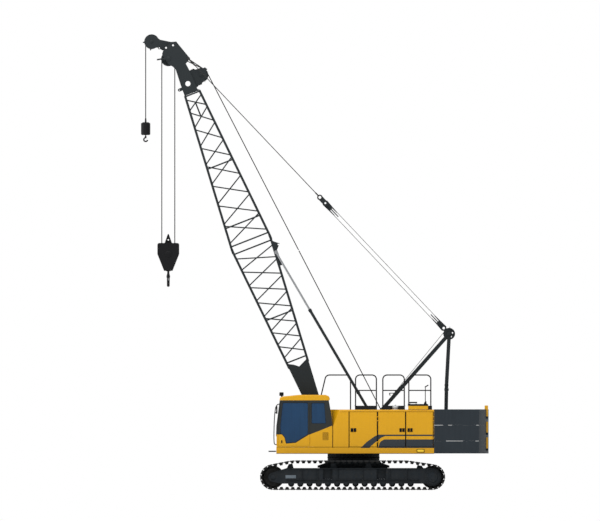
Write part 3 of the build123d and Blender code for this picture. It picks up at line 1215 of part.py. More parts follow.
def tip_jib():
    """Single-sheave extension held by two cross pins of the head."""
    through = (JIB_Y[0] - 1, JIB_Y[1] + 1)
    cheek = fuse(plate(JIB_OUTLINE, JIB_Y), disc(JIB_SHEAVE, JIB_GUARD_R, JIB_Y), disc(JIB_HOLE, JIB_HOLE_R[0], JIB_Y),
                 *[plate(fin(tip), JIB_Y) for tip in JIB_TIPS], *[disc(pin, JIB_EYE_R, JIB_Y) for pin in JIB_PINS])
    cheek = cheek - disc(JIB_HOLE, JIB_HOLE_R[1], through)
    for pin in JIB_PINS:
        cheek = cheek - disc(pin, JIB_PIN_R[0] + PIN_PLAY, through)
    web = plate(((13390.0, -60.0), (13420.0, -60.0), (13455.0, -400.0), (13425.0, -400.0)), (-JIB_Y[1], JIB_Y[1]))
    return [boom_place(fuse(*both_sides(cheek), web, disc(JIB_SHEAVE, JIB_SHAFT_R, (-JIB_Y[1], JIB_Y[1]))))]


def head_sheaves():
    return [boom_place(sheave(MAIN_SHEAVE, MAIN_SHEAVE_R, y, 60, SHAFT_R + PIN_PLAY)) for y in MAIN_FALL_Y]


def guide_sheaves():
    return [boom_place(sheave(GUIDE_SHEAVE, GUIDE_SHEAVE_R, side * GUIDE_Y, 60, SHAFT_R + PIN_PLAY))
            for side in (1, -1)]


def jib_sheave():
    return [boom_place(sheave(JIB_SHEAVE, JIB_SHEAVE_R, 0.0, 60, JIB_SHAFT_R + PIN_PLAY))]


# Hoist ropes and hooks

def hoist_line():
    """Start, end and direction of the hoist ropes between the drums and the guide sheaves."""
    gx, gz = on_boom(*GUIDE_SHEAVE)
    dx, dz = gx - DRUM[0], gz - DRUM[1]
    gap = hypot(dx, dz)
    heading = atan2(dz, dx) + asin((DRUM_R - GUIDE_SHEAVE_R) / gap)
    nx, nz = -sin(heading), cos(heading)
    start = (DRUM[0] + nx * DRUM_R, DRUM[1] + nz * DRUM_R)
    end = (gx + nx * GUIDE_SHEAVE_R, gz + nz * GUIDE_SHEAVE_R)
    return start, end, heading


def hoist_ropes(share):
    """One stretch of the two hoist ropes, between two shares of their length."""
    start, end, _ = hoist_line()
    a, b = [(start[0] + s * (end[0] - start[0]), start[1] + s * (end[1] - start[1])) for s in share]
    return [rod((a[0], side * GUIDE_Y, a[1]), (b[0], side * GUIDE_Y, b[1]), ROPE_R) for side in (1, -1)]


def main_falls():
    """Four parts of rope from the head sheaves to the hook block."""
    x, z = on_boom(*MAIN_SHEAVE)
    return [rod((x + reach, y, z), (x + reach, y, BLOCK_SIDE_Z), ROPE_R)
            for y in MAIN_FALL_Y[1:3] for reach in (MAIN_SHEAVE_R, -MAIN_SHEAVE_R)]


def hook_block():
    """Cheek plates with a taper, sheaves between them, and the eye on top."""
    x, _ = on_boom(*MAIN_SHEAVE)
    half = BLOCK_THICK / 2
    side = ((BLOCK_LOW_HALF, BLOCK_LOW_Z), (BLOCK_HALF, BLOCK_SIDE_Z), (BLOCK_HALF, BLOCK_TOP_Z - 50),
            (BLOCK_HALF - 14, BLOCK_TOP_Z - 18), (BLOCK_HALF - 50, BLOCK_TOP_Z))
    outline = [(x + reach, z) for reach, z in side] + [(x - reach, z) for reach, z in reversed(side)]
    cheeks = both_sides(plate(outline, (half - 70, half)))
    body = fuse(*cheeks, disc((x, BLOCK_SIDE_Z), 50, (-half, half)),
                block((x - BLOCK_LOW_HALF, x + BLOCK_LOW_HALF), (-half, half), (BLOCK_LOW_Z, BLOCK_LOW_Z + 190)))
    for y in MAIN_FALL_Y[1:3]:
        body = body + sheave((x, BLOCK_SIDE_Z), MAIN_SHEAVE_R, y, 60, 49)
    foot = BLOCK_TOP_Z - 20
    eye = plate(((x - 125, foot), (x - 14, BLOCK_EYE_Z), (x + 14, BLOCK_EYE_Z), (x + 125, foot)), (-16, 16))
    eye = eye - disc((x, BLOCK_HOLE[0]), BLOCK_HOLE[1], (-20, 20))
    bridge = block((x - 130, x + 130), (-half, half), (BLOCK_TOP_Z - 90, BLOCK_TOP_Z - 10))
    return [body + eye + bridge]


def hook(x, top, bottom, size, across):
    """A shank hook, its bowl across the machine or else along it."""
    thick = size * 0.38
    centre = bottom + size + thick
    section = Pos(0, 0, size) * ((Plane.XZ if across else Plane.YZ) * Circle(thick))
    bowl = revolve(section, Axis.X if across else Axis.Y, HOOK_SWEEP)
    neck = [(share * size, height * size) for share, height in HOOK_NECK]
    profile = [(0, neck[0][1])] + neck + [(neck[-1][0], top - centre), (0, top - centre)]
    shank = revolve(make_face(Polyline(*[(r, 0, t) for r, t in profile], close=True)), Axis.Z)
    return [Pos(x, 0, centre) * (bowl + shank)]


def main_hook():
    x, _ = on_boom(*MAIN_SHEAVE)
    return hook(x, BLOCK_LOW_Z - SEAT, HOOK_TIP_Z, 120.0, True)


def aux_x():
    return on_boom(*JIB_SHEAVE)[0] + JIB_SHEAVE_R


def aux_fall():
    _, z = on_boom(*JIB_SHEAVE)
    return [rod((aux_x(), 0, z), (aux_x(), 0, AUX_TOP_Z + SEAT), ROPE_R)]


def aux_weight():
    low, high = AUX_WEIGHT_Z
    r = AUX_WEIGHT_R
    profile = [(0, low), (r - 30, low), (r, low + 30), (r, high - 40), (r - 60, high), (30, high),
               (24, AUX_TOP_Z - 30), (16, AUX_TOP_Z), (0, AUX_TOP_Z)]
    face = make_face(Polyline(*[(a, 0, b) for a, b in profile], close=True))
    return [Pos(aux_x(), 0, 0) * revolve(face, Axis.Z)]


def aux_hook():
    return hook(aux_x(), AUX_WEIGHT_Z[0] - SEAT, AUX_TIP_Z, 60.0, False)


# Every node and what makes it
NODES = {
    "carbody": carbody(),
    "slew_ring": slew_ring(),
    "track_frame_left": track_frame(1),
    "track_frame_right": track_frame(-1),
    "track_left": track(1),
    "track_right": track(-1),
    "track_wheels": track_wheels(),
    "upper_frame": upper_frame(),
    "house_left": house(1, HOUSE_FRONT_X),
    "house_right": house(-1, RIGHT_FRONT_X),
    "engine_block": engine_block(),
    "roof_walkways": walkways(),
    "roof_hood": roof_hood(),
    "air_cleaner": air_cleaner(),
    "handrails": handrails(),
    "counterweight": counterweight(),
    "cab_shell": cab_shell(),
    "cab_roof": cab_roof(),
    "cab_glass": cab_glass(),
    "cab_seat": cab_seat(),
    "cab_door": cab_door(),
    "cab_door_glass": cab_door_glass(),
    "gantry": gantry(),
    "gantry_sheaves": gantry_sheaves(),
    "main_hoist_drum": drum(DRUM, DRUM_R, ROPE_R, DRUM_FLANGE_R, DRUM_Y),
    "aux_hoist_drum": drum(DRUM, DRUM_R, ROPE_R, DRUM_FLANGE_R, (-DRUM_Y[1], -DRUM_Y[0])),
    "luffing_drum": drum(LUFF_DRUM, LUFF_DRUM_R, TACKLE_ROPE_R, LUFF_DRUM_R + 80, (-LUFF_DRUM_HALF, LUFF_DRUM_HALF)),
    "backstop_tubes": backstop_tubes(),
    "backstop_rods": backstop_rods(),
    "lower_spreader": lower_spreader(),
    "upper_spreader": upper_spreader(),
    "pendants": pendants(),
    "luffing_ropes": luffing_ropes(),
    "boom_butt": boom_butt(),
    "boom_top": boom_top(),
    "boom_head": boom_head(),
    "tip_jib": tip_jib(),
    "head_sheaves": head_sheaves(),
    "guide_sheaves": guide_sheaves(),
    "jib_sheave": jib_sheave(),
    "hoist_ropes_lower": hoist_ropes((0.0, 0.5)),
    "hoist_ropes_upper": hoist_ropes((0.502, 1.0)),
    "main_falls": main_falls(),
    "hook_block": hook_block(),
    "main_hook": main_hook(),
    "aux_fall": aux_fall(),
    "aux_weight": aux_weight(),
    "aux_hook": aux_hook(),
}
for name, side, hinge, free in HOUSE_DOORS:
    NODES[name] = house_door(side, hinge, free)

FRONT_X = aux_x() + AUX_WEIGHT_R
MIDDLE_X = (FRONT_X - TAIL_R) / 2

for name, solids in NODES.items():
    placed = [Pos(-MIDDLE_X, 0, 0) * solid for solid in solids]
    shape = placed[0] if len(placed) == 1 else Compound(children=placed)
    export_step(shape, f"parts/{name}.step")
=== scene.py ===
"""Crawler crane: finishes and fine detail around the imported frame."""

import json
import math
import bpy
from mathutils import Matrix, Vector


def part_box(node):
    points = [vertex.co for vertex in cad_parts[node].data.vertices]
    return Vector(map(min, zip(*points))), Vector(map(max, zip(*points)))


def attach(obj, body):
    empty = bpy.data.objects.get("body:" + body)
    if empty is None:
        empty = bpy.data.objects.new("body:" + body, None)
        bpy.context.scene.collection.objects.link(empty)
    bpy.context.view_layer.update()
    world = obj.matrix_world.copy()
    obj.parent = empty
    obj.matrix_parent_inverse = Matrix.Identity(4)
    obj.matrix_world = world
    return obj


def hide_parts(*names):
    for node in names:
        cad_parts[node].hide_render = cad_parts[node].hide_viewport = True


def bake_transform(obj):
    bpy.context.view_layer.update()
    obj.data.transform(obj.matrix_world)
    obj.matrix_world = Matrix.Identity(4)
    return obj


bl_info = {
    "name": "Crawler crane detailing",
    "version": (1, 0, 0),
    "blender": (4, 5, 0),
    "location": "3D View > Sidebar > Crane",
    "description": "Gives a packed crawler crane its finishes, ropes, fittings and studio",
    "category": "Object",
}

import bmesh
import bpy
from mathutils import Matrix, Vector

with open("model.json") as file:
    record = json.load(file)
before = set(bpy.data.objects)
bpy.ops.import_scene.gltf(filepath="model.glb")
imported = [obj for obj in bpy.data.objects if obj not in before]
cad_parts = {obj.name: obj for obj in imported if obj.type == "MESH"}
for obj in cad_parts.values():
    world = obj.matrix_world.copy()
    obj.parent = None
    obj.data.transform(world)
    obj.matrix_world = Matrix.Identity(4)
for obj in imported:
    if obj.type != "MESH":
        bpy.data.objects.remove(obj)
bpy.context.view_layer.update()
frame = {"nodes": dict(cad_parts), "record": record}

NODES = frame["nodes"]
JOINTS = {joint["name"]: joint for joint in frame["record"]["behaviour"]["joints"]}


def joint_at(name):
    """Where a joint stands at rest, in metres."""
    return Vector(JOINTS[name]["pos_m"])


SLEW_X = joint_at("slew").x
BOOM_FOOT = joint_at("boom_luff")
BOOM_ANGLE = math.radians(68.6)
MM = 0.001


def at(x, y, z):
    """A point given in millimetres from the slewing axis and the ground."""
    return Vector((SLEW_X + x * MM, y * MM, z * MM))


def on_boom(u, y, v):
    """A point given in millimetres along and across the boom, from its foot pin."""
    cos, sin = math.cos(BOOM_ANGLE), math.sin(BOOM_ANGLE)
    return BOOM_FOOT + MM * Vector((u * cos - v * sin, y, u * sin + v * cos))


# Settings

def length_setting(name, text, default, low=0.0):
    return bpy.props.FloatProperty(name=name, description=text, default=default, unit="LENGTH", min=low)


def power_setting(name, text, default):
    return bpy.props.FloatProperty(name=name, description=text, default=default, min=0.0)


def colour_setting(name, text, default):
    return bpy.props.FloatVectorProperty(
        name=name, description=text, default=default, size=3, min=0.0, max=1.0, subtype="COLOR")


class PaintSettings(bpy.types.PropertyGroup):
    """Colours of the paints and bare materials."""

    body: colour_setting("Body", "Paint of the houses and the cab", (0.62, 0.315, 0.005))
    slate: colour_setting("Slate", "Paint of the counterweight and the stripes", (0.024, 0.031, 0.038))
    boom: colour_setting("Boom", "Paint of the boom, gantry and backstops", (0.016, 0.020, 0.022))
    chassis: colour_setting("Chassis", "Paint of the track frames and the carbody", (0.012, 0.0165, 0.021))
    black: colour_setting("Black", "Paint of rails, gratings and hooks", (0.006, 0.006, 0.007))
    cast: colour_setting("Cast steel", "Shoes, chain and wheels", (0.016, 0.017, 0.018))
    glass: colour_setting("Glass", "Tint of the cab's panes", (0.012, 0.050, 0.120))
    dust: colour_setting("Dust", "Dry dust low on the machine", (0.10, 0.085, 0.068))
    amber: colour_setting("Amber", "Marker lamps", (0.95, 0.62, 0.03))
    band: colour_setting("Window band", "Paint round the cab's windows", (0.018, 0.021, 0.020))
    plate: colour_setting("Plate", "Blank plates on the track frames", (0.115, 0.140, 0.165))
    pale: colour_setting("Pale", "Lamp reflectors and the air cleaner", (0.55, 0.56, 0.56))


class StudioSettings(bpy.types.PropertyGroup):
    """Camera and light."""

    view_width: length_setting("View width", "Width of the camera's view", 19.2)
    view_x: length_setting("View middle", "Middle of the view along the machine", 0.474, low=-20.0)
    view_z: length_setting("View height", "Height of the view's middle over the ground", 7.344)
    distance: length_setting("Distance", "From the camera to the machine's middle plane", 45.0)
    floor_size: length_setting("Floor", "Length of the floor's side", 240.0)
    key_power: power_setting("Key light", "Power of the large key light", 5200.0)
    sky: power_setting("Sky", "Strength of the even light", 0.80)


class RopeSettings(bpy.types.PropertyGroup):
    """Wire ropes."""

    hoist: length_setting("Hoist rope", "Radius of the hoist ropes", 0.015)
    luffing: length_setting("Luffing rope", "Radius of the luffing rope", 0.008)


def paints():
    return bpy.context.scene.crane_paint


# Shader nodes

FLOAT, COLOUR = "NodeSocketFloat", "NodeSocketColor"


def connect(tree, node, sockets):
    """Sets a node's inputs, by name or number, to values or to other nodes' sockets."""
    for name, value in sockets.items():
        if isinstance(value, bpy.types.NodeSocket):
            tree.links.new(value, node.inputs[name])
        else:
            node.inputs[name].default_value = value
    return node


def add_node(tree, kind, sockets=None, **values):
    """A shader node with its properties and its inputs set."""
    node = tree.nodes.new(kind)
    for name, value in values.items():
        setattr(node, name, value)
    return connect(tree, node, sockets or {})


def rgba(colour):
    return (*colour, 1.0)


def object_point(tree):
    """The shaded point in the object's own coordinates."""
    return add_node(tree, "ShaderNodeTexCoord").outputs["Object"]


def part_of(tree, vector, axis):
    """One coordinate of a vector."""
    return add_node(tree, "ShaderNodeSeparateXYZ", {0: vector}).outputs[axis]


def noise(tree, place, scale, detail, roughness=0.5):
    """Cloudy noise, a number from 0 to 1."""
    sockets = {"Vector": place, "Scale": scale, "Detail": detail, "Roughness": roughness}
    return add_node(tree, "ShaderNodeTexNoise", sockets).outputs["Fac"]


def calc(tree, operation, a, b=0.0, clamp=False):
    """A calculation with one or two numbers."""
    return add_node(tree, "ShaderNodeMath", {0: a, 1: b}, operation=operation, use_clamp=clamp).outputs[0]


def remap(tree, value, before=(0.0, 1.0), after=(0.0, 1.0)):
    """A number moved from one range into another."""
    sockets = {"Value": value, "From Min": before[0], "From Max": before[1], "To Min": after[0],
               "To Max": after[1]}
    return add_node(tree, "ShaderNodeMapRange", sockets).outputs["Result"]


def mix_colour(tree, share, first, second):
    """The first colour where the share is 0, the second where it is 1."""
    return add_node(tree, "ShaderNodeMix", {0: share, 6: first, 7: second}, data_type="RGBA").outputs[2]


def bump(tree, height, distance):
    """The surface's direction, tilted by a height."""
    return add_node(tree, "ShaderNodeBump", {"Height": height, "Distance": distance}).outputs["Normal"]


def new_group(name, inputs, outputs):
    """An empty node group with its sockets: (name, type, default) each."""
    tree = bpy.data.node_groups.new(name, "ShaderNodeTree")
    for in_out, sockets in (("INPUT", inputs), ("OUTPUT", outputs)):
        for label, kind, default in sockets:
            socket = tree.interface.new_socket(label, in_out=in_out, socket_type=kind)
            if default is not None:
                socket.default_value = default
    return tree, tree.nodes.new("NodeGroupInput").outputs, tree.nodes.new("NodeGroupOutput")


def grain_group():
    """Fine unevenness of paint or cast metal, as a height."""
    tree, given, out = new_group(
        "surface_grain", [("Scale", FLOAT, 40.0), ("Coarse", FLOAT, 0.3)], [("Height", FLOAT, None)])
    place = object_point(tree)
    fine = noise(tree, place, given["Scale"], 3.0, 0.55)
    broad = noise(tree, place, calc(tree, "MULTIPLY", given["Scale"], 0.12), 2.0)
    mixed = add_node(tree, "ShaderNodeMix", {0: given["Coarse"], 2: fine, 3: broad}, data_type="FLOAT")
    connect(tree, out, {"Height": mixed.outputs[0]})
    return tree


def drift_group():
    """Slow change of a colour over the surface, with faint runs down the sides."""
    tree, given, out = new_group(
        "colour_drift", [("Colour", COLOUR, None), ("Scale", FLOAT, 0.9), ("Amount", FLOAT, 0.12)],
        [("Colour", COLOUR, None), ("Mask", FLOAT, None)])
    place = object_point(tree)
    broad = noise(tree, place, given["Scale"], 5.0, 0.6)
    upright = add_node(tree, "ShaderNodeMapping", {"Vector": place, "Scale": (9.0, 9.0, 0.55)})
    runs = noise(tree, upright.outputs["Vector"], 1.6, 3.0)
    mask = remap(tree, calc(tree, "MULTIPLY", broad, runs), (0.12, 0.42))
    share = calc(tree, "MULTIPLY", mask, given["Amount"])
    darker = mix_colour(tree, share, given["Colour"], rgba((0.0, 0.0, 0.0)))
    connect(tree, out, {"Colour": darker, "Mask": mask})
    return tree


def dust_group():
    """Dust that thins out with height and gathers on upward faces."""
    tree, given, out = new_group(
        "ground_dust",
        [("Colour", COLOUR, None), ("Dust", COLOUR, None), ("Top", FLOAT, 1.4), ("Amount", FLOAT, 0.3)],
        [("Colour", COLOUR, None), ("Mask", FLOAT, None)])
    place = object_point(tree)
    facing = add_node(tree, "ShaderNodeNewGeometry").outputs["Normal"]
    low = remap(tree, part_of(tree, place, "Z"), (0.0, given["Top"]), (1.0, 0.0))
    upward = remap(tree, part_of(tree, facing, "Z"), (0.2, 1.0), (0.0, 0.45))
    spots = remap(tree, noise(tree, place, 5.0, 8.0, 0.7), (0.35, 0.72))
    where = calc(tree, "MULTIPLY", calc(tree, "ADD", low, upward, clamp=True), spots)
    share = calc(tree, "MULTIPLY", where, given["Amount"])
    connect(tree, out, {"Colour": mix_colour(tree, share, given["Colour"], given["Dust"]), "Mask": share})
    return tree


GROUPS = {}
GROUP_MAKERS = {"grain": grain_group, "drift": drift_group, "dust": dust_group}


def use_group(tree, name, sockets):
    """One of the shared effects in a material. Its group is made when it is first used."""
    if name not in GROUPS:
        GROUPS[name] = GROUP_MAKERS[name]()
    node = add_node(tree, "ShaderNodeGroup", node_tree=GROUPS[name])
    return connect(tree, node, sockets).outputs


# Lines in side view, in millimetres: x and z

CAB_LINE = ((694, 2054), (1101, 1891), (1443, 1760), (1658, 1629), (1853, 1507), (2163, 1482), (2211, 1680),
            (2294, 1776), (2464, 1776))
STRIPE_TOP = ((-2600, 1773), (-803, 1773), (-688, 1725), (-426, 1542), (-227, 1344))
STRIPE_BOTTOM = ((-2600, 1725), (-1018, 1725), (-886, 1674), (-720, 1542), (-525, 1376), (-490, 1200))
LOWER_TOP = ((-2600, 1619), (-986, 1619), (-880, 1560), (-838, 1510), (-787, 1344))
# Metres: the stripes stay above this height, and outside this distance from the middle
SKIRT_TOP = 1.344
STRIPE_FACE = 1.585


def under_line(tree, points):
    """1 on surfaces below a line drawn in side view, else 0."""
    places = [(at(x, 0, z).x, z * MM) for x, z in points]
    left, right = places[0][0], places[-1][0]
    low, high = min(z for _, z in places), max(z for _, z in places)
    point = object_point(tree)
    along = remap(tree, part_of(tree, point, "X"), (left, right))
    curve = add_node(tree, "ShaderNodeFloatCurve", {"Value": along})
    line = curve.mapping.curves[0]
    for x, z in places[1:-1]:
        line.points.new((x - left) / (right - left), (z - low) / (high - low))
    for end in (0, -1):
        line.points[end].location.y = (places[end][1] - low) / (high - low)
    for knot in line.points:
        knot.handle_type = "VECTOR"
    curve.mapping.update()
    height = remap(tree, curve.outputs[0], after=(low, high))
    return calc(tree, "LESS_THAN", part_of(tree, point, "Z"), height)


def cab_colour(tree, colour):
    """Black round the windows, above the curved line."""
    above = calc(tree, "SUBTRACT", 1.0, under_line(tree, CAB_LINE), clamp=True)
    return mix_colour(tree, above, colour, rgba(paints().band))


def house_colour(tree, colour):
    """Slate bands on the outer sides."""
    top, bottom = under_line(tree, STRIPE_TOP), under_line(tree, STRIPE_BOTTOM)
    stripe = calc(tree, "SUBTRACT", top, bottom, clamp=True)
    bands = calc(tree, "ADD", stripe, under_line(tree, LOWER_TOP), clamp=True)
    place = object_point(tree)
    outside = calc(tree, "GREATER_THAN", calc(tree, "ABSOLUTE", part_of(tree, place, "Y")), STRIPE_FACE)
    above = calc(tree, "GREATER_THAN", part_of(tree, place, "Z"), SKIRT_TOP)
    where = calc(tree, "MULTIPLY", calc(tree, "MULTIPLY", bands, outside), above)
    return mix_colour(tree, where, colour, rgba(paints().slate))


# Paints whose colour changes over the surface
MASKS = {"cab_paint": cab_colour, "house_paint": house_colour}

# Colour, roughness, how much it varies, metallic, coat, specular level, grain scale and height, drift, dust
FINISHES = {
    "body_paint": ("body", 0.34, 0.10, 0.0, 0.08, 0.22, 240.0, 0.0004, 0.06, 0.12),
    "house_paint": ("body", 0.34, 0.10, 0.0, 0.08, 0.22, 240.0, 0.0004, 0.06, 0.12),
    "cab_paint": ("body", 0.32, 0.10, 0.0, 0.08, 0.22, 240.0, 0.0004, 0.05, 0.10),
    "slate_paint": ("slate", 0.50, 0.12, 0.0, 0.0, 0.12, 160.0, 0.0006, 0.16, 0.10),
    "boom_paint": ("boom", 0.46, 0.12, 0.0, 0.0, 0.14, 180.0, 0.0005, 0.14, 0.06),
    "chassis_paint": ("chassis", 0.52, 0.15, 0.0, 0.0, 0.12, 130.0, 0.0007, 0.18, 0.16),
    "rail_paint": ("black", 0.40, 0.10, 0.0, 0.0, 0.16, 200.0, 0.0004, 0.10, 0.06),
    "hook_paint": ("black", 0.44, 0.12, 0.0, 0.0, 0.12, 160.0, 0.0006, 0.10, 0.05),
    "cast_steel": ("cast", 0.58, 0.18, 0.20, 0.0, 0.14, 90.0, 0.0016, 0.22, 0.20),
    "rubber": ("black", 0.70, 0.15, 0.0, 0.0, 0.12, 300.0, 0.0005, 0.10, 0.10),
    "amber_lens": ("amber", 0.26, 0.06, 0.0, 0.10, 0.30, 400.0, 0.0003, 0.05, 0.05),
    "plate_grey": ("plate", 0.42, 0.10, 0.0, 0.0, 0.20, 200.0, 0.0003, 0.06, 0.08),
    "pale_plate": ("pale", 0.40, 0.10, 0.0, 0.0, 0.35, 200.0, 0.0003, 0.06, 0.08),
}


def finish_base(name):
    """A new node material and its tree, with the shader wired to the output."""
    material = bpy.data.materials.new(name)
    material.use_nodes = True
    tree = material.node_tree
    tree.nodes.clear()
    shader = add_node(tree, "ShaderNodeBsdfPrincipled")
    add_node(tree, "ShaderNodeOutputMaterial", {0: shader.outputs[0]})
    return material, tree, shader


def painted(name):
    """A painted or cast finish from the table, its colour changed by a mask where it has one."""
    key, rough, spread, metal, coat, specular, scale, height, drift, dust = FINISHES[name]
    material, tree, shader = finish_base(name)
    colour = rgba(getattr(paints(), key))
    if name in MASKS:
        colour = MASKS[name](tree, colour)
    drifted = use_group(tree, "drift", {"Colour": colour, "Amount": drift})
    dusted = use_group(
        tree, "dust", {"Colour": drifted["Colour"], "Dust": rgba(paints().dust), "Amount": dust})
    worn = remap(tree, drifted["Mask"], after=(rough, rough + spread))
    grain = use_group(tree, "grain", {"Scale": scale})
    connect(tree, shader, {
        "Metallic": metal,
        "Coat Weight": coat,
        "Coat Roughness": 0.12,
        "Specular IOR Level": specular,
        "Base Color": dusted["Colour"],
        "Roughness": calc(tree, "ADD", worn, dusted["Mask"], clamp=True),
        "Normal": bump(tree, grain["Height"], height),
    })
    return material


def tinted_glass():
    """Dark blue safety glass, a little uneven in tone."""
    material, tree, shader = finish_base("tinted_glass")
    tint = use_group(tree, "drift", {"Colour": rgba(paints().glass), "Scale": 0.6, "Amount": 0.25})
    connect(tree, shader, {
        "Transmission Weight": 0.14,
        "Specular IOR Level": 0.18,
        "IOR": 1.5,
        "Roughness": 0.04,
        "Base Color": tint["Colour"],
    })
    return material


def wire_rope(name, tone, direction):
    """Greased wire rope: strands slanting round a straight rope that runs in this direction."""
    material, tree, shader = finish_base(name)
    place = object_point(tree)
    turn = Vector(direction).to_track_quat("X", "Z").inverted().to_euler()
    along = add_node(tree, "ShaderNodeMapping", {"Vector": place, "Rotation": turn}).outputs["Vector"]
    strands = add_node(tree, "ShaderNodeTexWave", {"Vector": along, "Scale": 9.0, "Distortion": 0.6},
                       bands_direction="DIAGONAL").outputs["Fac"]
    spots = noise(tree, place, 60.0, 4.0)
    lit = calc(tree, "MULTIPLY", strands, spots, clamp=True)
    connect(tree, shader, {
        "Metallic": 0.3,
        "Specular IOR Level": 0.15,
        "Base Color": mix_colour(tree, lit, rgba((tone * 0.6,) * 3), rgba((tone * 1.7,) * 3)),
        "Roughness": remap(tree, spots, after=(0.4, 0.65)),
        "Normal": bump(tree, strands, 0.0012),
    })
    return material


def bright_steel():
    """Ground or chromed steel with fine turning marks."""
    material, tree, shader = finish_base("bright_steel")
    marks = noise(tree, object_point(tree), 120.0, 5.0)
    connect(tree, shader, {
        "Metallic": 1.0,
        "Base Color": mix_colour(tree, marks, (0.22, 0.23, 0.24, 1.0), (0.42, 0.43, 0.44, 1.0)),
        "Roughness": remap(tree, marks, after=(0.2, 0.42)),
    })
    return material


def seat_cloth():
    """Close woven upholstery."""
    material, tree, shader = finish_base("seat_cloth")
    weave = add_node(tree, "ShaderNodeTexWave", {"Vector": object_point(tree), "Scale": 160.0,
                                                 "Distortion": 1.2}).outputs["Fac"]
    connect(tree, shader, {
        "Roughness": 0.9,
        "Sheen Weight": 0.3,
        "Base Color": mix_colour(tree, weave, (0.012, 0.013, 0.015, 1.0), (0.035, 0.036, 0.040, 1.0)),
        "Normal": bump(tree, weave, 0.0008),
    })
    return material


MATERIALS = {}
SPECIAL = {"tinted_glass": tinted_glass, "bright_steel": bright_steel, "seat_cloth": seat_cloth}

# Ropes: tone and direction
ROPES = {
    "fall_rope": (0.006, (0.0, 0.0, 1.0)),
    "hoist_rope": (0.008, (0.36, 0.0, 0.93)),
    "luffing_rope": (0.02, (0.69, 0.0, 0.72)),
    "pendant_rope": (0.03, (0.69, 0.0, 0.72)),
    "wound_rope": (0.014, (0.0, 1.0, 0.0)),
}


def finish(name):
    """A finish by name, made when it is first used."""
    if name not in MATERIALS:
        if name in ROPES:
            MATERIALS[name] = wire_rope(name, *ROPES[name])
        else:
            MATERIALS[name] = SPECIAL[name]() if name in SPECIAL else painted(name)
    return MATERIALS[name]


# CAD nodes and their finish
NODE_FINISH = {
    "house_paint": ("house_left", "house_right", "house_door_left_front", "house_door_left_middle",
                    "house_door_left_rear", "house_door_right_front", "house_door_right_rear"),
    "cab_paint": ("cab_shell", "cab_door"),
    "body_paint": ("cab_roof", "roof_hood"),
    "slate_paint": ("counterweight",),
    "hook_paint": ("aux_weight", "hook_block", "main_hook", "aux_hook"),
    "boom_paint": ("boom_butt", "boom_top", "boom_head", "tip_jib", "gantry", "backstop_tubes",
                   "lower_spreader", "upper_spreader", "gantry_sheaves", "head_sheaves", "guide_sheaves",
                   "jib_sheave"),
    "chassis_paint": ("carbody", "track_frame_left", "track_frame_right", "upper_frame", "main_hoist_drum",
                      "aux_hoist_drum", "luffing_drum", "engine_block", "slew_ring"),
    "cast_steel": ("track_left", "track_right", "track_wheels"),
    "pale_plate": ("air_cleaner",),
    "rail_paint": ("roof_walkways", "handrails"),
    "bright_steel": ("backstop_rods",),
    "tinted_glass": ("cab_glass", "cab_door_glass"),
    "seat_cloth": ("cab_seat",),
    "pendant_rope": ("pendants",),
    "luffing_rope": ("luffing_ropes",),
    "hoist_rope": ("hoist_ropes_lower", "hoist_ropes_upper"),
    "fall_rope": ("main_falls", "aux_fall"),
}


class CRANE_OT_paint(bpy.types.Operator):
    """Give every node of the frame its finish"""

    bl_idname = "crane.paint"
    bl_label = "Paint the frame"

    def execute(self, context):
        for name, nodes in NODE_FINISH.items():
            for node in nodes:
                slots = NODES[node].data.materials
                slots.clear()
                slots.append(finish(name))
        return {"FINISHED"}


# Modelling

# Metres: points nearer to each other than this are one point
MERGE_DISTANCE = 0.00001


def tilt(degrees, axis):
    """A turn about an axis of the frame, for box."""
    return Matrix.Rotation(math.radians(degrees), 3, axis).to_quaternion()


def box(bm, low, high, edge=0.0, turn=None):
    """A block between two corners, its edges rounded, turned about its middle."""
    low, high = Vector(map(min, low, high)), Vector(map(max, low, high))
    place = Matrix.LocRotScale((low + high) / 2, turn, high - low)
    made = bmesh.ops.create_cube(bm, size=1.0, matrix=place)["verts"]
    if edge:
        edges = list({side for vert in made for side in vert.link_edges})
        bmesh.ops.bevel(bm, geom=edges, offset=edge, offset_type="OFFSET", segments=2, profile=0.5,
                        affect="EDGES", material=-1)


def rod(bm, a, b, radius, tip=None, sides=12):
    """A round bar from a to b, tapering to another radius where tip is given."""
    a, b = Vector(a), Vector(b)
    place = Matrix.LocRotScale((a + b) / 2, (b - a).to_track_quat("Z", "Y"), None)
    bmesh.ops.create_cone(bm, cap_ends=True, segments=sides, radius1=radius,
                          radius2=radius if tip is None else tip, depth=(b - a).length, matrix=place)


def turned(bm, centre, axis, profile, steps=24):
    """A body of revolution. profile: radius and distance along the axis, in metres."""
    centre = Vector(centre)
    frame_turn = Vector(axis).to_track_quat("Z", "Y")
    verts = [bm.verts.new(centre + frame_turn @ Vector((r, 0.0, t))) for r, t in profile]
    edges = [bm.edges.new(pair) for pair in zip(verts, verts[1:])]
    bmesh.ops.spin(bm, geom=verts + edges, cent=centre, axis=axis, angle=2 * math.pi, steps=steps,
                   use_merge=True, use_duplicate=False)


def bolts(bm, centre, axis, ring, count, radius, height):
    """Hexagon heads on a circle, or one in the middle where the ring's radius is 0."""
    centre, axis = Vector(centre), Vector(axis).normalized()
    turn = axis.to_track_quat("Z", "Y")
    for i in range(count):
        angle = 2 * math.pi * i / count
        foot = centre + turn @ Vector((ring * math.cos(angle), ring * math.sin(angle), 0.0))
        rod(bm, foot, foot + axis * height, radius, sides=6)


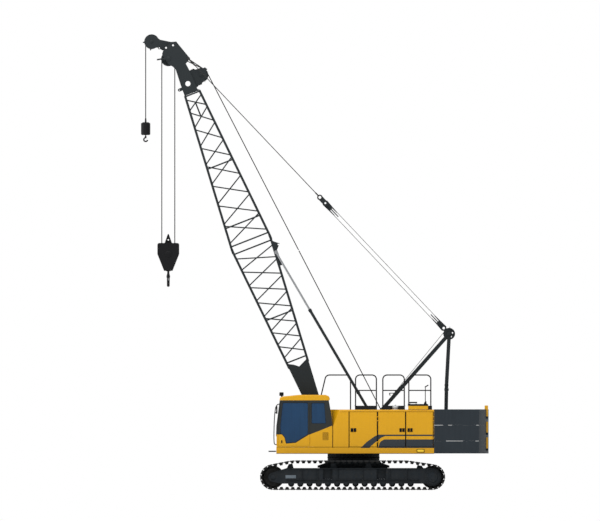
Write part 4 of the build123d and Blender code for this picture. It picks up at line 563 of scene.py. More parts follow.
def pin_cap(bm, centre, side, radius, height=0.014):
    """A pin's round end cap with three bolts, on the left for side 1 and on the right for -1."""
    axis = (0.0, float(side), 0.0)
    profile = [(0.0, height), (radius * 0.8, height), (radius, height * 0.6), (radius, -0.002),
               (0.0, -0.002)]
    turned(bm, centre, axis, profile, 20)
    top = Vector(centre) + Vector(axis) * (height - 0.001)
    bolts(bm, top, axis, radius * 0.55, 3, radius * 0.13, 0.006)


def new_object(bm, name, material, shade=35.0):
    """Merges a mesh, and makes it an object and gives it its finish."""
    bmesh.ops.remove_doubles(bm, verts=bm.verts, dist=MERGE_DISTANCE)
    bmesh.ops.recalc_face_normals(bm, faces=bm.faces)
    mesh = bpy.data.meshes.new(name)
    bm.to_mesh(mesh)
    bm.free()
    mesh.shade_smooth()
    mesh.set_sharp_from_angle(angle=math.radians(shade))
    mesh.materials.append(finish(material))
    obj = bpy.data.objects.new(name, mesh)
    bpy.context.collection.objects.link(obj)
    return obj


def piece(bm, name, body, material, shade=35.0):
    """Makes an object of a mesh and puts it on its body."""
    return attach(new_object(bm, name, material, shade), body)


def tubes(name, body, material, radius, lines, closed=False, smooth=False):
    """Round tubes through lines of points, as one mesh."""
    curve = bpy.data.curves.new(name + "_line", "CURVE")
    curve.dimensions = "3D"
    curve.bevel_depth = radius
    curve.bevel_resolution = 2
    curve.use_fill_caps = True
    for line in lines:
        spline = curve.splines.new("NURBS" if smooth else "POLY")
        spline.points.add(len(line) - 1)
        for point, place in zip(spline.points, line):
            point.co = (*place, 1.0)
        spline.use_cyclic_u = closed
        if smooth:
            spline.use_endpoint_u = not closed
            spline.order_u = 3
            spline.resolution_u = 6
    source = bpy.data.objects.new(name + "_source", curve)
    bpy.context.collection.objects.link(source)
    bpy.context.view_layer.update()
    mesh = bpy.data.meshes.new_from_object(source)
    bpy.data.objects.remove(source)
    bm = bmesh.new()
    bm.from_mesh(mesh)
    bpy.data.meshes.remove(mesh)
    return piece(bm, name, body, material, 60.0)


def arc(centre, radius, start, end, y, steps=12):
    """Points on an arc in side view; centre in metres, angles in degrees from +X towards +Z."""
    angles = [math.radians(start + (end - start) * i / steps) for i in range(steps + 1)]
    return [Vector((centre.x + radius * math.cos(a), y, centre.z + radius * math.sin(a))) for a in angles]


# Undercarriage

# Millimetres: middle of a track, outer face of its frame, axles of the end wheels and rollers
TRACK_Y = 1770
FRAME_FACE = 1980
WHEEL_Z = 413
IDLER_X = 2582
SPROCKET_X = -2525
ROLLER_Z = 200.3
ROLLERS = [1995 - 294 * i for i in range(14)]
STIFFENERS = (-300, 500, 1150, -1150, -1700, 1650)
# Edge strips on the track frames: x of the two ends, z of the two edges
EDGE_STRIPS = ((-2150, 2090, 684, 700), (-2100, 2150, 318, 334))


class CRANE_OT_running_gear(bpy.types.Operator):
    """Caps, bolts and keeper plates on the track frames"""

    bl_idname = "crane.running_gear"
    bl_label = "Fit the running gear"

    def execute(self, context):
        bm = bmesh.new()
        plates = bmesh.new()
        rims = bmesh.new()
        for side in (1, -1):
            for face, way in ((FRAME_FACE, side), (2 * TRACK_Y - FRAME_FACE, -side)):
                for x in ROLLERS:
                    pin_cap(bm, at(x, side * face, ROLLER_Z), way, 0.052, 0.022)
            hub = at(SPROCKET_X, side * (FRAME_FACE + 24), WHEEL_Z)
            turned(bm, hub, (0, side, 0),
                   [(0, 0.03), (0.09, 0.03), (0.10, 0.022), (0.155, 0.022), (0.165, 0.0), (0.0, 0.0)], 32)
            bolts(bm, hub, (0, side, 0), 0.215, 20, 0.013, 0.012)
            pin_cap(bm, at(IDLER_X, side * (FRAME_FACE + 28), WHEEL_Z), side, 0.075, 0.016)
            for x in (2240, 2330):
                rod(bm, at(x, side * FRAME_FACE, 560), at(x, side * (FRAME_FACE + 14), 560), 0.014, sides=6)
            box(plates, at(1843, side * FRAME_FACE, 372), at(2176, side * (FRAME_FACE + 5), 474), 0.002)
            for x in STIFFENERS:
                box(bm, at(x - 9, side * FRAME_FACE, 330), at(x + 9, side * (FRAME_FACE + 40), 690), 0.003)
            for rear, front, low, high in EDGE_STRIPS:
                inner, outer = side * (FRAME_FACE - 1), side * (FRAME_FACE + 46)
                box(bm, at(rear, inner, low), at(front, outer, high), 0.003)
            for x in (IDLER_X, SPROCKET_X):
                turned(rims, at(x, side * TRACK_Y, WHEEL_Z), (0, 1, 0),
                       [(0.240, -0.06), (0.366, -0.06), (0.366, 0.06), (0.240, 0.06), (0.240, -0.06)], 48)
        piece(bm, "running_gear", "undercarriage", "chassis_paint")
        piece(rims, "wheel_rims", "undercarriage", "cast_steel")
        piece(plates, "blank_plates", "undercarriage", "plate_grey")
        ring = bmesh.new()
        bolts(ring, at(0, 0, 927), (0, 0, 1), 0.880, 48, 0.016, 0.018)
        piece(ring, "slewing_bolts", "undercarriage", "cast_steel")
        seal = bmesh.new()
        turned(seal, at(0, 0, 1040), (0, 0, 1),
               [(0.8304, -0.020), (0.836, -0.018), (0.836, 0.018), (0.8304, 0.020), (0.8304, -0.020)], 64)
        piece(seal, "slewing_seal", "upperworks", "rubber")
        return {"FINISHED"}


# Houses

# In these tables side is 1 on the left and -1 on the right, and the rest is millimetres.
# Door latches: door, side, x of the front and rear end
LATCHES = (
    ("house_door_left_front", 1, 92, -88),
    ("house_door_left_middle", 1, -1469, -1638),
    ("house_door_left_rear", 1, -1728, -1891),
    ("house_door_right_front", -1, 1050, 890),
    ("house_door_right_rear", -1, -2190, -2350),
)
# Gutters over the doors, and rubber strips under them whose black in the groove is also painted shade:
# side, x of the front end
GUTTERS = ((1, 440), (-1, 1240))
LOWER_STRIPS = ((1, 671), (-1, 1190))
# Rubber strips along the doors' edges: side, then x of the middle and width
SEAMS = (
    (1, ((662, 17), (148, 18), (-768, 22), (-1668, 16), (-2558, 20))),
    (-1, ((1122, 18), (-62, 18), (-1158, 18), (-2422, 18))),
)
# Gratings of the roof walkways: side, then x of the front and rear ends
WALKS = (
    (1, ((-45, -752), (-918, -1184), (-1446, -1645), (-2396, -2512))),
    (-1, ((-45, -752), (-918, -1645), (-1750, -2493))),
)
BAR_PITCH = 48
LOUVRES = 10
# Posts of the handrails. The fifth on the left stands on the roof box, higher than the others.
POSTS = (-65, -732, -938, -1625, -1770, -2473)
POST_FOOT = 2688
BOX_FOOT = 2746


class CRANE_OT_house_fittings(bpy.types.Operator):
    """Latches, gutters, lamps, gratings and what stands on the roofs"""

    bl_idname = "crane.house_fittings"
    bl_label = "Fit the houses"

    def execute(self, context):
        for door, side, front, rear in LATCHES:
            bm = bmesh.new()
            middle = (front + rear) / 2
            for low, high in ((rear, middle - 6), (middle + 6, front)):
                box(bm, at(low, side * 1599, 1858), at(high, side * 1606, 1978), 0.003)
                box(bm, at(low + 4, side * 1604, 1864), at(high - 4, side * 1616, 1972), 0.004)
                knob = (low + high) / 2
                rod(bm, at(knob, side * 1610, 1922), at(knob, side * 1621, 1922), 0.014)
            piece(bm, door + "_latch", door, "rubber")
        bm = bmesh.new()
        for side, front in GUTTERS:
            box(bm, at(-2560, side * 1598, 2512), at(front, side * 1614, 2522), 0.002)
            box(bm, at(-2560, side * 1610, 2512), at(front, side * 1615, 2530), 0.002)
        piece(bm, "gutters", "upperworks", "body_paint")
        strips = bmesh.new()
        for side, seams in SEAMS:
            for x, width in seams:
                box(strips, at(x - width / 2, side * 1599.2, 1346), at(x + width / 2, side * 1601, 2508))
        for side, front in LOWER_STRIPS:
            # A black rubber strip at the bottom of the groove along the doors' lower edge; its black is
            # also painted shade of the groove
            box(strips, at(-2574, side * 1585.4, 1345), at(front, side * 1588, 1379))
            box(strips, at(-2576, side * 1599.2, 1158.5), at(2468, side * 1601, 1172))
            box(strips, at(-2270, side * 1599.2, 1200), at(-2022, side * 1604, 1310), 0.002)
        piece(strips, "seam_strips", "upperworks", "rubber")
        lamps = bmesh.new()
        for side in (1, -1):
            box(lamps, at(-2250, side * 1603, 1218), at(-2042, side * 1615, 1292), 0.006)
        piece(lamps, "marker_lamps", "upperworks", "amber_lens")
        louvres = bmesh.new()
        for i in range(LOUVRES):
            z = 1560 + 52 * i
            box(louvres, at(180, -1599, z), at(620, -1611, z + 26), 0.004, tilt(-22, "X"))
        piece(louvres, "door_louvres", "house_door_right_front", "body_paint")
        grating = bmesh.new()
        for side, walks in WALKS:
            for front, rear in walks:
                count = round((front - rear) / BAR_PITCH)
                for i in range(count + 1):
                    x = rear + 5 + (front - rear - 10) * i / count
                    box(grating, at(x - 4, side * 1060, 2686), at(x + 4, side * 1550, 2696))
                for y in (1056, 1300, 1554):
                    box(grating, at(rear, side * (y - 4), 2686), at(front, side * (y + 4), 2698))
        piece(grating, "gratings", "upperworks", "rail_paint")
        feet = bmesh.new()
        for side in (1, -1):
            for x in POSTS:
                z = BOX_FOOT if side > 0 and x == POSTS[4] else POST_FOOT
                turned(feet, at(x, side * 1530, z), (0, 0, 1),
                       [(0.021, 0.010), (0.044, 0.010), (0.046, 0.0), (0.021, 0.0), (0.021, 0.010)], 16)
        piece(feet, "rail_feet", "upperworks", "rail_paint")
        roof = bmesh.new()
        box(roof, at(-1743, 1035, 2692), at(-2389, 1595, 2752), 0.004)
        rod(roof, at(-1776, 1430, 2800), at(-2038, 1430, 2800), 0.022)
        for x in (-1810, -2004):
            box(roof, at(x - 8, 1418, 2750), at(x + 8, 1442, 2790), 0.002)
        rod(roof, at(-2298, 1340, 2750), at(-2298, 1340, 3290), 0.013)
        box(roof, at(-2403, 1300, 3306), at(-2272, 1380, 3342), 0.005, tilt(30, "Y"))
        turned(roof, at(-2298, 1340, 2752), (0, 0, 1),
               [(0.0, 0.06), (0.03, 0.06), (0.05, 0.0), (0.0, 0.0)], 20)
        rod(roof, at(-2320, 1480, 2750), at(-2320, 1480, 2836), 0.014, 0.018)
        turned(roof, at(-1340, 1300, 2576), (0, 0, 1),
               [(0.1025, 0.052), (0.109, 0.050), (0.109, 0.040), (0.1025, 0.038), (0.1025, 0.052)], 32)
        turned(roof, at(-1340, 1300, 2714), (0, 0, 1),
               [(0.0, 0.012), (0.010, 0.012), (0.026, 0.004), (0.026, 0.0), (0.0, 0.0)], 20)
        piece(roof, "roof_fittings", "upperworks", "rail_paint")
        return {"FINISHED"}


# Cab

# Millimetres. The windows and the rail in side view: x and z
DOOR_WINDOW = ((2160, 1505), (2208, 1690), (2290, 1795), (2344, 1800), (2344, 2090), (2268, 2797),
               (1456, 2797), (1456, 1785), (1658, 1655), (1853, 1532), (2100, 1505))
QUARTER = ((1345, 2125), (1345, 2790), (930, 2790), (880, 2125))
RIGHT_WINDOW = ((2300, 1880), (2380, 2134), (2295, 2790), (1460, 2790), (1460, 1880))
CAB_RAIL = ((2376, 2749), (2478, 2749), (2531, 2381), (2548, 1800), (2545, 1560), (2531, 1450),
            (2462, 1450))
# The windscreen's edge: x, y and z
WINDSCREEN = ((2450, 784, 1780), (2450, 784, 2092), (2360, 784, 2786), (2360, 1516, 2786),
              (2450, 1516, 2092), (2450, 1516, 1780))
# The seals' middle lines on the cab's left and right wall, and their radius in metres
LEFT_WALL = 1588
RIGHT_WALL = 712
SEAL_RADIUS = 0.008
# The seal under the cab: middles of its two sides, lower and upper face
SILL_SIDES = (1580, 722)
SILL_LOW, SILL_HIGH = 1366.3, 1379.6
VENT_SLATS = 8
# Middles of the lamps on the roof and of the two consoles: y
WORK_LAMPS = (840, 1150, 1460)
CONSOLES = (900, 1410)


def round_line(points, y):
    """A closed line in side view with two points at each corner."""
    line = []
    for before, here, after in zip(points[-1:] + points[:-1], points, points[1:] + points[:1]):
        for other in (before, after):
            reach = Vector(other) - Vector(here)
            near = Vector(here) + reach.normalized() * min(28.0, reach.length * 0.3)
            line.append(at(near.x, y, near.y))
    return line


class CRANE_OT_cab_fittings(bpy.types.Operator):
    """Seals, mirror, rails, lamps, wiper and the driver's controls"""

    bl_idname = "crane.cab_fittings"
    bl_label = "Fit the cab"

    def execute(self, context):
        door_line = round_line(DOOR_WINDOW, LEFT_WALL)
        tubes("door_window_seal", "cab_door", "rubber", SEAL_RADIUS, [door_line], closed=True)
        seals = [round_line(QUARTER, LEFT_WALL), round_line(QUARTER, RIGHT_WALL),
                 round_line(RIGHT_WINDOW, RIGHT_WALL), [at(*point) for point in WINDSCREEN]]
        tubes("window_seals", "upperworks", "rubber", SEAL_RADIUS, seals, closed=True)
        rail = [at(x, 1560, z) for x, z in CAB_RAIL]
        tubes("cab_rail", "upperworks", "rail_paint", 0.015, [rail], smooth=True)

        sill = bmesh.new()
        for y in SILL_SIDES:
            box(sill, at(700, y - 14, SILL_LOW), at(2463, y + 14, SILL_HIGH))
        box(sill, at(2448, SILL_SIDES[1], SILL_LOW), at(2463, SILL_SIDES[0], SILL_HIGH))
        box(sill, at(2484, 878, 1219), at(2720, 1502, 1257), 0.004)
        # A thin black sheet on the cab wall behind the vent's slats: painted shade of the vent's opening
        box(sill, at(806, 1599.2, 1597), at(986, 1600.6, 1843))
        piece(sill, "cab_sill_seal", "upperworks", "rubber")

        slats = bmesh.new()
        for i in range(VENT_SLATS):
            box(slats, at(812, 1600, 1604 + 30 * i), at(980, 1608, 1622 + 30 * i), 0.002)
        piece(slats, "cab_vent", "upperworks", "body_paint")

        handle = bmesh.new()
        box(handle, at(2276, 1599, 1500), at(2316, 1604, 1590), 0.003)
        box(handle, at(2282, 1603, 1512), at(2296, 1622, 1578), 0.005)
        piece(handle, "cab_door_handle", "cab_door", "rubber")

        mirror = bmesh.new()
        box(mirror, at(2436, 1660, 2432), at(2478, 1840, 2688), 0.018)
        rod(mirror, at(2520, 1560, 2420), at(2478, 1700, 2500), 0.010)
        rod(mirror, at(2500, 1560, 2640), at(2478, 1700, 2620), 0.010)
        piece(mirror, "mirror_housing", "upperworks", "rubber")
        glass = bmesh.new()
        box(glass, at(2432, 1674, 2450), at(2437, 1826, 2670), 0.002)
        piece(glass, "mirror_glass", "upperworks", "bright_steel")

        lamps, lenses = bmesh.new(), bmesh.new()
        for y in WORK_LAMPS:
            box(lamps, at(2236, y - 62, 3010), at(2372, y + 62, 3128), 0.020)
            box(lamps, at(2270, y - 20, 2980), at(2320, y + 20, 3020), 0.004)
            turned(lenses, at(2371, y, 3068), (1, 0, 0),
                   [(0.0, 0.012), (0.03, 0.010), (0.046, 0.004), (0.048, -0.004), (0.0, -0.004)], 24)
        piece(lamps, "work_lamps", "upperworks", "rubber")
        piece(lenses, "lamp_lenses", "upperworks", "pale_plate")

        wiper = bmesh.new()
        rod(wiper, at(2464, 1150, 1740), at(2478, 1150, 1740), 0.022)
        rod(wiper, at(2472, 1150, 1740), at(2462, 1050, 2080), 0.008, 0.006)
        box(wiper, at(2452, 1020, 1850), at(2460, 1034, 2090), 0.002)
        rod(wiper, at(2462, 1050, 2080), at(2456, 1027, 1980), 0.005)
        piece(wiper, "wiper", "upperworks", "rubber")

        controls = bmesh.new()
        for y in CONSOLES:
            box(controls, at(1330, y - 48, 1440), at(1640, y + 48, 2010), 0.015)
            rod(controls, at(1560, y, 2005), at(1580, y, 2130), 0.009)
            turned(controls, at(1580, y, 2130), (0, 0, 1),
                   [(0.0, 0.06), (0.020, 0.052), (0.024, 0.03), (0.016, 0.0), (0.0, 0.0)], 16)
        box(controls, at(2290, 1000, 1440), at(2370, 1300, 1720), 0.02)
        box(controls, at(2210, 800, 1900), at(2236, 940, 2080), 0.008)
        rod(controls, at(2222, 870, 1440), at(2222, 870, 1910), 0.014)
        piece(controls, "driver_controls", "upperworks", "rubber")
        return {"FINISHED"}


# Boom, gantry and tackle

# Axles on the boom, in millimetres along and across it
GUIDE_SHEAVES = (12079, 479)
HEAD_SHEAVES = (12943, -314)
JIB_SHEAVE = (13653, -609)
# Lugs where the two boom sections meet: along the boom, to the side and across it
LUG_U, LUG_Y, LUG_V = 6480, 550, 645
# The switch arm's outer end: x and z in millimetres
ARM_END = (6270, 13772)
# Where the hoist ropes leave the guide sheaves: cosine and sine from the boom's direction
HEAD_LEAVES = (0.6762, 0.7367)
JIB_LEAVES = (0.5686, 0.8226)


def on_axle(station, y=0):
    """A point on one of the boom's axles, y in millimetres."""
    return on_boom(station[0], y, station[1])


class CRANE_OT_boom_fittings(bpy.types.Operator):
    """Pin heads, rope guards, switch arm and head ropes on the boom"""

    bl_idname = "crane.boom_fittings"
    bl_label = "Fit the boom"

    def execute(self, context):
        bm = bmesh.new()
        for side in (1, -1):
            pin_cap(bm, on_boom(0, side * 592, 0), side, 0.070, 0.012)
            pin_cap(bm, on_axle(HEAD_SHEAVES, side * 345), side, 0.085, 0.018)
            pin_cap(bm, on_axle(GUIDE_SHEAVES, side * 220), side, 0.070, 0.016)
            pin_cap(bm, on_axle(JIB_SHEAVE, side * 110), side, 0.055, 0.014)
            for v in (LUG_V, -LUG_V):
                lug = [on_boom(LUG_U, side * (LUG_Y + reach), v) for reach in (-44, 46, 44, 54)]
                rod(bm, lug[0], lug[1], 0.026)
                rod(bm, lug[2], lug[3], 0.036, 0.030)
        for u in (10868, 11327):
            rod(bm, on_boom(u, -340, -12), on_boom(u, 340, -12), 0.014)
        rod(bm, on_boom(10868, 0, -12), on_boom(11327, 0, -12), 0.024)
        for side in (1, -1):
            rod(bm, on_boom(13000, side * 340, -400), at(ARM_END[0], side * 340, ARM_END[1]), 0.024)
            turned(bm, on_boom(13000, side * 330, -400), (0, side, 0),
                   [(0.0, 0.04), (0.040, 0.036), (0.044, 0.0), (0.0, 0.0)], 20)
        rod(bm, at(ARM_END[0], -352, ARM_END[1]), at(ARM_END[0], 352, ARM_END[1]), 0.026)
        for u, v in ((12790, -80), (13130, -110)):
            rod(bm, on_boom(u, -318, v), on_boom(u, 318, v), 0.016)
        piece(bm, "boom_fittings", "boom", "boom_paint")

        turn = math.degrees(BOOM_ANGLE)
        guide, head, jib = on_axle(GUIDE_SHEAVES), on_axle(HEAD_SHEAVES), on_axle(JIB_SHEAVE)
        head_out = turn + math.degrees(math.atan2(HEAD_LEAVES[1], HEAD_LEAVES[0]))
        jib_out = turn + math.degrees(math.atan2(JIB_LEAVES[1], JIB_LEAVES[0]))
        lines = [
            arc(guide, 0.205, turn + 92, head_out, 0.12) + arc(head, 0.208, head_out, 0, 0.15, 16),
            arc(guide, 0.205, turn + 92, jib_out, -0.12) + arc(jib, 0.190, jib_out, 0, 0.0, 16),
        ]
        tubes("head_ropes", "boom", "hoist_rope", context.scene.crane_ropes.hoist, lines)

        # Rods round the sheaves: name, centre, radius of the circle, half length and angles
        keepers = (("guide", guide, 0.246, 0.2, (60, 150, 240)), ("jib", jib, 0.232, 0.092, (70, 150)))
        for name, centre, radius, half, angles in keepers:
            guard = bmesh.new()
            for angle in map(math.radians, angles):
                place = centre + radius * Vector((math.cos(angle), 0, math.sin(angle)))
                rod(guard, place - Vector((0, half, 0)), place + Vector((0, half, 0)), 0.009)
            piece(guard, name + "_rope_keepers", "boom", "boom_paint")
        return {"FINISHED"}


# Millimetres: the gantry's head axle and the luffing drum's axle, x and z
GANTRY_HEAD = (-3062, 4998)
LUFFING_AXLE = (-230, 2105)
# Millimetres: how far to the side a backstop stands
BACKSTOP_Y = 632
# Metres: place of each collar along a backstop, and its profile
COLLARS = (
    (0.557, [(0.0452, 0.034), (0.060, 0.030), (0.060, -0.030), (0.0452, -0.034), (0.0452, 0.034)]),
    (3.60, [(0.0452, 0.045), (0.056, 0.040), (0.056, -0.045), (0.0452, -0.050), (0.0452, 0.045)]),
)
# The luffing rope's two parts touch the drum and the sheaves in this direction from their axles
LEAD_NORMAL = (0.7146, 0.0, 0.6995)


class CRANE_OT_gantry_fittings(bpy.types.Operator):
    """Pin caps, step and lug on the gantry, collars on the backstops and the luffing rope's lead"""

    bl_idname = "crane.gantry_fittings"
    bl_label = "Fit the gantry"

    def execute(self, context):
        bm = bmesh.new()
        for side in (1, -1):
            pin_cap(bm, at(GANTRY_HEAD[0], side * 655, GANTRY_HEAD[1]), side, 0.062)
            pin_cap(bm, at(-2976, side * 628, 3357), side, 0.040)
            rod(bm, at(-1170, side * 505, 3020), at(-1149, side * 505, 3100), 0.016)
            rod(bm, at(-1330, side * 505, 3170), at(-1347, side * 505, 3190), 0.016)
            box(bm, at(-1347, side * 470, 3086), at(-1149, side * 540, 3112), 0.004)
            box(bm, at(-1347, side * 470, 3086), at(-1321, side * 540, 3190), 0.004)
        rod(bm, at(-3085, -190, 5214), at(-3085, 190, 5214), 0.010)
        for y in (-200, 200):
            rod(bm, at(-3085, y, 5214), at(-3062, y, 5010), 0.010)
        piece(bm, "gantry_fittings", "upperworks", "boom_paint")

        foot, head = at(-432, 0, 2640), on_boom(5930, 0, 640)
        way = (head - foot).normalized()
        collars = bmesh.new()
        for side in (1, -1):
            axle = foot + Vector((0, side * BACKSTOP_Y * MM, 0))
            for place, profile in COLLARS:
                turned(collars, axle + way * place, way, profile, 24)
        piece(collars, "backstop_collars", "backstop_tubes", "boom_paint")
        lead = bmesh.new()
        normal = Vector(LEAD_NORMAL)
        for y in (60, -60):
            start = at(LUFFING_AXLE[0], y, LUFFING_AXLE[1]) - normal * 0.200
            end = at(GANTRY_HEAD[0], y, GANTRY_HEAD[1]) + normal * 0.165
            rod(lead, start, end, context.scene.crane_ropes.luffing, sides=10)
        piece(lead, "luffing_lead", "upperworks", "luffing_rope")
        return {"FINISHED"}


DOWN = (0, 0, -1)
TACKLE_WAY = (-0.687691, 0, 0.726004)
# Ropes that change length: name, node, the bodies at the two ends, direction from one to the other, finish
LONG_ROPES = (
    ("main_fall_ropes", "main_falls", "main_falls", "hook_block", DOWN, "fall_rope"),
    ("aux_fall_rope", "aux_fall", "aux_fall", "aux_weight", DOWN, "fall_rope"),
    ("tackle_ropes", "luffing_ropes", "lower_spreader", "upper_spreader", TACKLE_WAY, "luffing_rope"),
)


class CRANE_OT_long_ropes(bpy.types.Operator):
    """Falls and luffing ropes: copies of the frame's rope nodes with their finish, the nodes hidden"""

    bl_idname = "crane.long_ropes"
    bl_label = "Hang the long ropes"

    def execute(self, context):
        for name, node, start_body, end_body, direction, material in LONG_ROPES:
            bm = bmesh.new()
            bm.from_mesh(NODES[node].data)
            obj = new_object(bm, name, material)
            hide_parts(node)
            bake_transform(obj)
        return {"FINISHED"}


# Winches

HOIST_AXLE = (-964, 1831)
# Drum, its axle's x and z, radius, the winding's two ends, pitch, and which rope's size it has
WINDINGS = (
    ("main_hoist_drum", HOIST_AXLE, 260, (62, 382), 31, "hoist"),
    ("aux_hoist_drum", HOIST_AXLE, 260, (-382, -62), 31, "hoist"),
    ("luffing_drum", LUFFING_AXLE, 200, (-228, 228), 17, "luffing"),
)
TURN_STEPS = 20


class CRANE_OT_winch_ropes(bpy.types.Operator):
    """Ropes wound on the three drums"""

    bl_idname = "crane.winch_ropes"
    bl_label = "Wind the drums"

    def execute(self, context):
        for drum, (x, z), radius, (low, high), pitch, rope in WINDINGS:
            turns = int((high - low) / pitch)
            line = []
            for i in range(turns * TURN_STEPS + 1):
                angle = 2 * math.pi * i / TURN_STEPS
                y = low + pitch * i / TURN_STEPS
                line.append(at(x + radius * math.cos(angle), y, z + radius * math.sin(angle)))
            size = getattr(context.scene.crane_ropes, rope)
            tubes(drum + "_winding", drum, "wound_rope", size * 0.99, [line])
        return {"FINISHED"}


# Hooks

# Metres: height of the block's pin, and the cheek bolts from the block's middle: x and height
BLOCK_PIN_Z = 7.549
CHEEK_BOLTS = ((-0.27, 7.82), (0.27, 7.82), (-0.29, 7.56), (0.29, 7.56), (-0.12, 7.10), (0.12, 7.10),
               (0.0, 7.84), (0.0, 7.24))
# Hook, radius of its opening in metres, and whether it opens to the side
HOOKS = (("main_hook", 0.120, True), ("aux_hook", 0.060, False))
# Thickness of a hook below its opening, as a share of that radius
HOOK_THICKNESS = 0.38


class CRANE_OT_hook_fittings(bpy.types.Operator):
    """Latches, cheek bolts and caps on the hooks"""

    bl_idname = "crane.hook_fittings"
    bl_label = "Fit the hooks"

    def execute(self, context):
        low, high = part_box("hook_block")
        middle = (low.x + high.x) / 2
        face = high.y
        bm = bmesh.new()
        for side in (1, -1):
            pin_cap(bm, (middle, side * face, BLOCK_PIN_Z), side, 0.105, 0.020)
            for dx, z in CHEEK_BOLTS:
                bolts(bm, (middle + dx, side * face, z), (0, side, 0), 0.0, 1, 0.016, 0.012)
        turned(bm, (middle, 0.0, 7.0), (0, 0, 1),
               [(0.03, 0.014), (0.075, 0.012), (0.080, 0.0), (0.03, 0.0), (0.03, 0.014)], 24)
        piece(bm, "block_fittings", "hook_block", "hook_paint")
        for hook, size, across in HOOKS:
            low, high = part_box(hook)
            centre = Vector(((low.x + high.x) / 2, 0.0, low.z + size * (1 + HOOK_THICKNESS)))
            if not across:
                centre.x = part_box("aux_weight")[0].x + 0.149
            latch = bmesh.new()
            way = Vector((0, 1, 0)) if across else Vector((1, 0, 0))
            sign = 1.0 if (high.y > -low.y if across else high.x - centre.x > centre.x - low.x) else -1.0
            top = centre + Vector((0, 0, size * 1.2)) - way * sign * size * 0.28
            tip = centre + way * sign * -size * 0.80 + Vector((0, 0, size * 0.35))
            rod(latch, top, tip, size * 0.06, size * 0.08, 10)
            half = Vector((size * 0.2, 0, 0))
            rod(latch, top - half, top + half, size * 0.07, sides=10)
            piece(latch, hook + "_latch", hook, "bright_steel")
        return {"FINISHED"}


# Counterweight

# Millimetres: the lower and upper end of each pair of lugs
LUGS = ((2310, 2707), (1792, 2189), (1286, 1686))
# Painted highlights: short pale lines on the slab edges between the slabs: z, then x of the front and rear
# ends
SEAM_HIGHLIGHTS = (
    (2074, ((-2576, -2860), (-3030, -3150), (-3930, -4010))),
    (1568, ((-2960, -3500), (-3900, -4010))),
)


class CRANE_OT_tail_fittings(bpy.types.Operator):
    """Lifting lugs of the counterweight, and pale strips on its slab seams as painted highlights of the
    slab edges
    """

    bl_idname = "crane.tail_fittings"
    bl_label = "Fit the counterweight"

    def execute(self, context):
        lugs = bmesh.new()
        ends = bmesh.new()
        for low, high in LUGS:
            for side in (1, -1):
                box(lugs, at(-4196, side * 640, low + 40), at(-4306, side * 790, high), 0.014)
                box(ends, at(-4204, side * 636, low - 24), at(-4302, side * 794, low + 44), 0.008)
        piece(lugs, "tail_lugs", "upperworks", "body_paint")
        piece(ends, "lug_feet", "upperworks", "rubber")
        # Pale strips on the seams between the slabs: painted highlights of the slab edges
        marks = bmesh.new()
        for z, spans in SEAM_HIGHLIGHTS:
            for front, rear in spans:
                for side in (1, -1):
                    box(marks, at(front, side * 1599.5, z - 7), at(rear, side * 1601.5, z + 7), 0.0008)
        piece(marks, "seam_highlights", "upperworks", "pale_plate")
        return {"FINISHED"}


# Studio

FLOOR_WHITE = 0.86
WHITE = (1.0, 1.0, 1.0, 1.0)
# Name, place, size, share of the key light's power
LAMPS = (
    ("key", (7.0, 19.0, 28.0), 14.0, 1.0),
    ("fill", (-16.0, -14.0, 14.0), 16.0, 0.2),
    ("front", (22.0, 3.0, 8.0), 12.0, 0.3),
)
LAMP_AIM = (0.0, 0.0, 4.0)


def floor_white():
    """Nearly even white, so that only the shadow shows on the floor."""
    material, tree, shader = finish_base("floor_white")
    soft = noise(tree, object_point(tree), 0.4, 2.0)
    tone = mix_colour(tree, soft, rgba((FLOOR_WHITE,) * 3), rgba((FLOOR_WHITE * 0.97,) * 3))
    connect(tree, shader, {"Base Color": tone, "Roughness": 0.6})
    return material


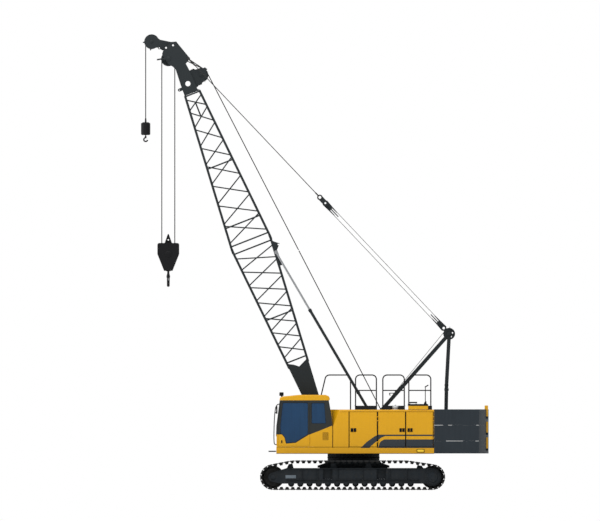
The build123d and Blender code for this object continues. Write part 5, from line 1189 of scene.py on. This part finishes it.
class CRANE_OT_stage(bpy.types.Operator):
    """Make the floor, the light and the camera"""

    bl_idname = "crane.stage"
    bl_label = "Make the stage"

    def execute(self, context):
        studio = context.scene.crane_studio
        mesh = bpy.data.meshes.new("floor")
        bm = bmesh.new()
        bmesh.ops.create_grid(bm, x_segments=1, y_segments=1, size=studio.floor_size / 2)
        bm.to_mesh(mesh)
        bm.free()
        mesh.materials.append(floor_white())
        floor = bpy.data.objects.new("floor", mesh)
        context.collection.objects.link(floor)

        world = bpy.data.worlds.new("studio")
        world.use_nodes = True
        tree = world.node_tree
        tree.nodes.clear()
        even = add_node(tree, "ShaderNodeBackground", {"Color": WHITE, "Strength": studio.sky})
        seen = add_node(tree, "ShaderNodeBackground", {"Color": WHITE, "Strength": 1.0})
        camera_ray = add_node(tree, "ShaderNodeLightPath").outputs["Is Camera Ray"]
        sockets = {0: camera_ray, 1: even.outputs[0], 2: seen.outputs[0]}
        mixed = add_node(tree, "ShaderNodeMixShader", sockets)
        add_node(tree, "ShaderNodeOutputWorld", {0: mixed.outputs[0]})
        context.scene.world = world

        for name, place, size, share in LAMPS:
            light = bpy.data.lights.new(name, "AREA")
            light.size = size
            light.energy = studio.key_power * share
            lamp = bpy.data.objects.new(name, light)
            lamp.location = place
            aim = Vector(LAMP_AIM) - Vector(place)
            lamp.rotation_euler = aim.to_track_quat("-Z", "Y").to_euler()
            context.collection.objects.link(lamp)

        camera = bpy.data.objects.new("camera", bpy.data.cameras.new("camera"))
        camera.data.type = "ORTHO"
        camera.data.ortho_scale = studio.view_width
        camera.location = (studio.view_x, studio.distance, studio.view_z)
        camera.rotation_euler = Vector((0.0, -1.0, 0.0)).to_track_quat("-Z", "Y").to_euler()
        context.collection.objects.link(camera)
        context.scene.camera = camera
        context.scene.view_settings.view_transform = "Standard"
        return {"FINISHED"}


class CRANE_PT_panel(bpy.types.Panel):
    """Lists the steps and the settings"""

    bl_idname = "CRANE_PT_panel"
    bl_label = "Crawler crane"
    bl_space_type = "VIEW_3D"
    bl_region_type = "UI"
    bl_category = "Crane"

    def draw(self, context):
        for settings in (context.scene.crane_paint, context.scene.crane_studio, context.scene.crane_ropes):
            box = self.layout.box()
            for name in settings.__annotations__:
                box.prop(settings, name)
        for operator in OPERATORS:
            self.layout.operator(operator.bl_idname)


OPERATORS = (CRANE_OT_stage, CRANE_OT_paint, CRANE_OT_running_gear, CRANE_OT_house_fittings,
             CRANE_OT_cab_fittings, CRANE_OT_boom_fittings, CRANE_OT_gantry_fittings, CRANE_OT_long_ropes,
             CRANE_OT_winch_ropes, CRANE_OT_hook_fittings, CRANE_OT_tail_fittings)
CLASSES = (PaintSettings, StudioSettings, RopeSettings, *OPERATORS, CRANE_PT_panel)


def register():
    for cls in CLASSES:
        bpy.utils.register_class(cls)
    bpy.types.Scene.crane_paint = bpy.props.PointerProperty(type=PaintSettings)
    bpy.types.Scene.crane_studio = bpy.props.PointerProperty(type=StudioSettings)
    bpy.types.Scene.crane_ropes = bpy.props.PointerProperty(type=RopeSettings)


def unregister():
    del bpy.types.Scene.crane_ropes
    del bpy.types.Scene.crane_studio
    del bpy.types.Scene.crane_paint
    for cls in reversed(CLASSES):
        bpy.utils.unregister_class(cls)


def main():
    register()
    for operator in OPERATORS:
        group, name = operator.bl_idname.split(".")
        getattr(getattr(bpy.ops, group), name)()


if __name__ == "__main__":
    main()
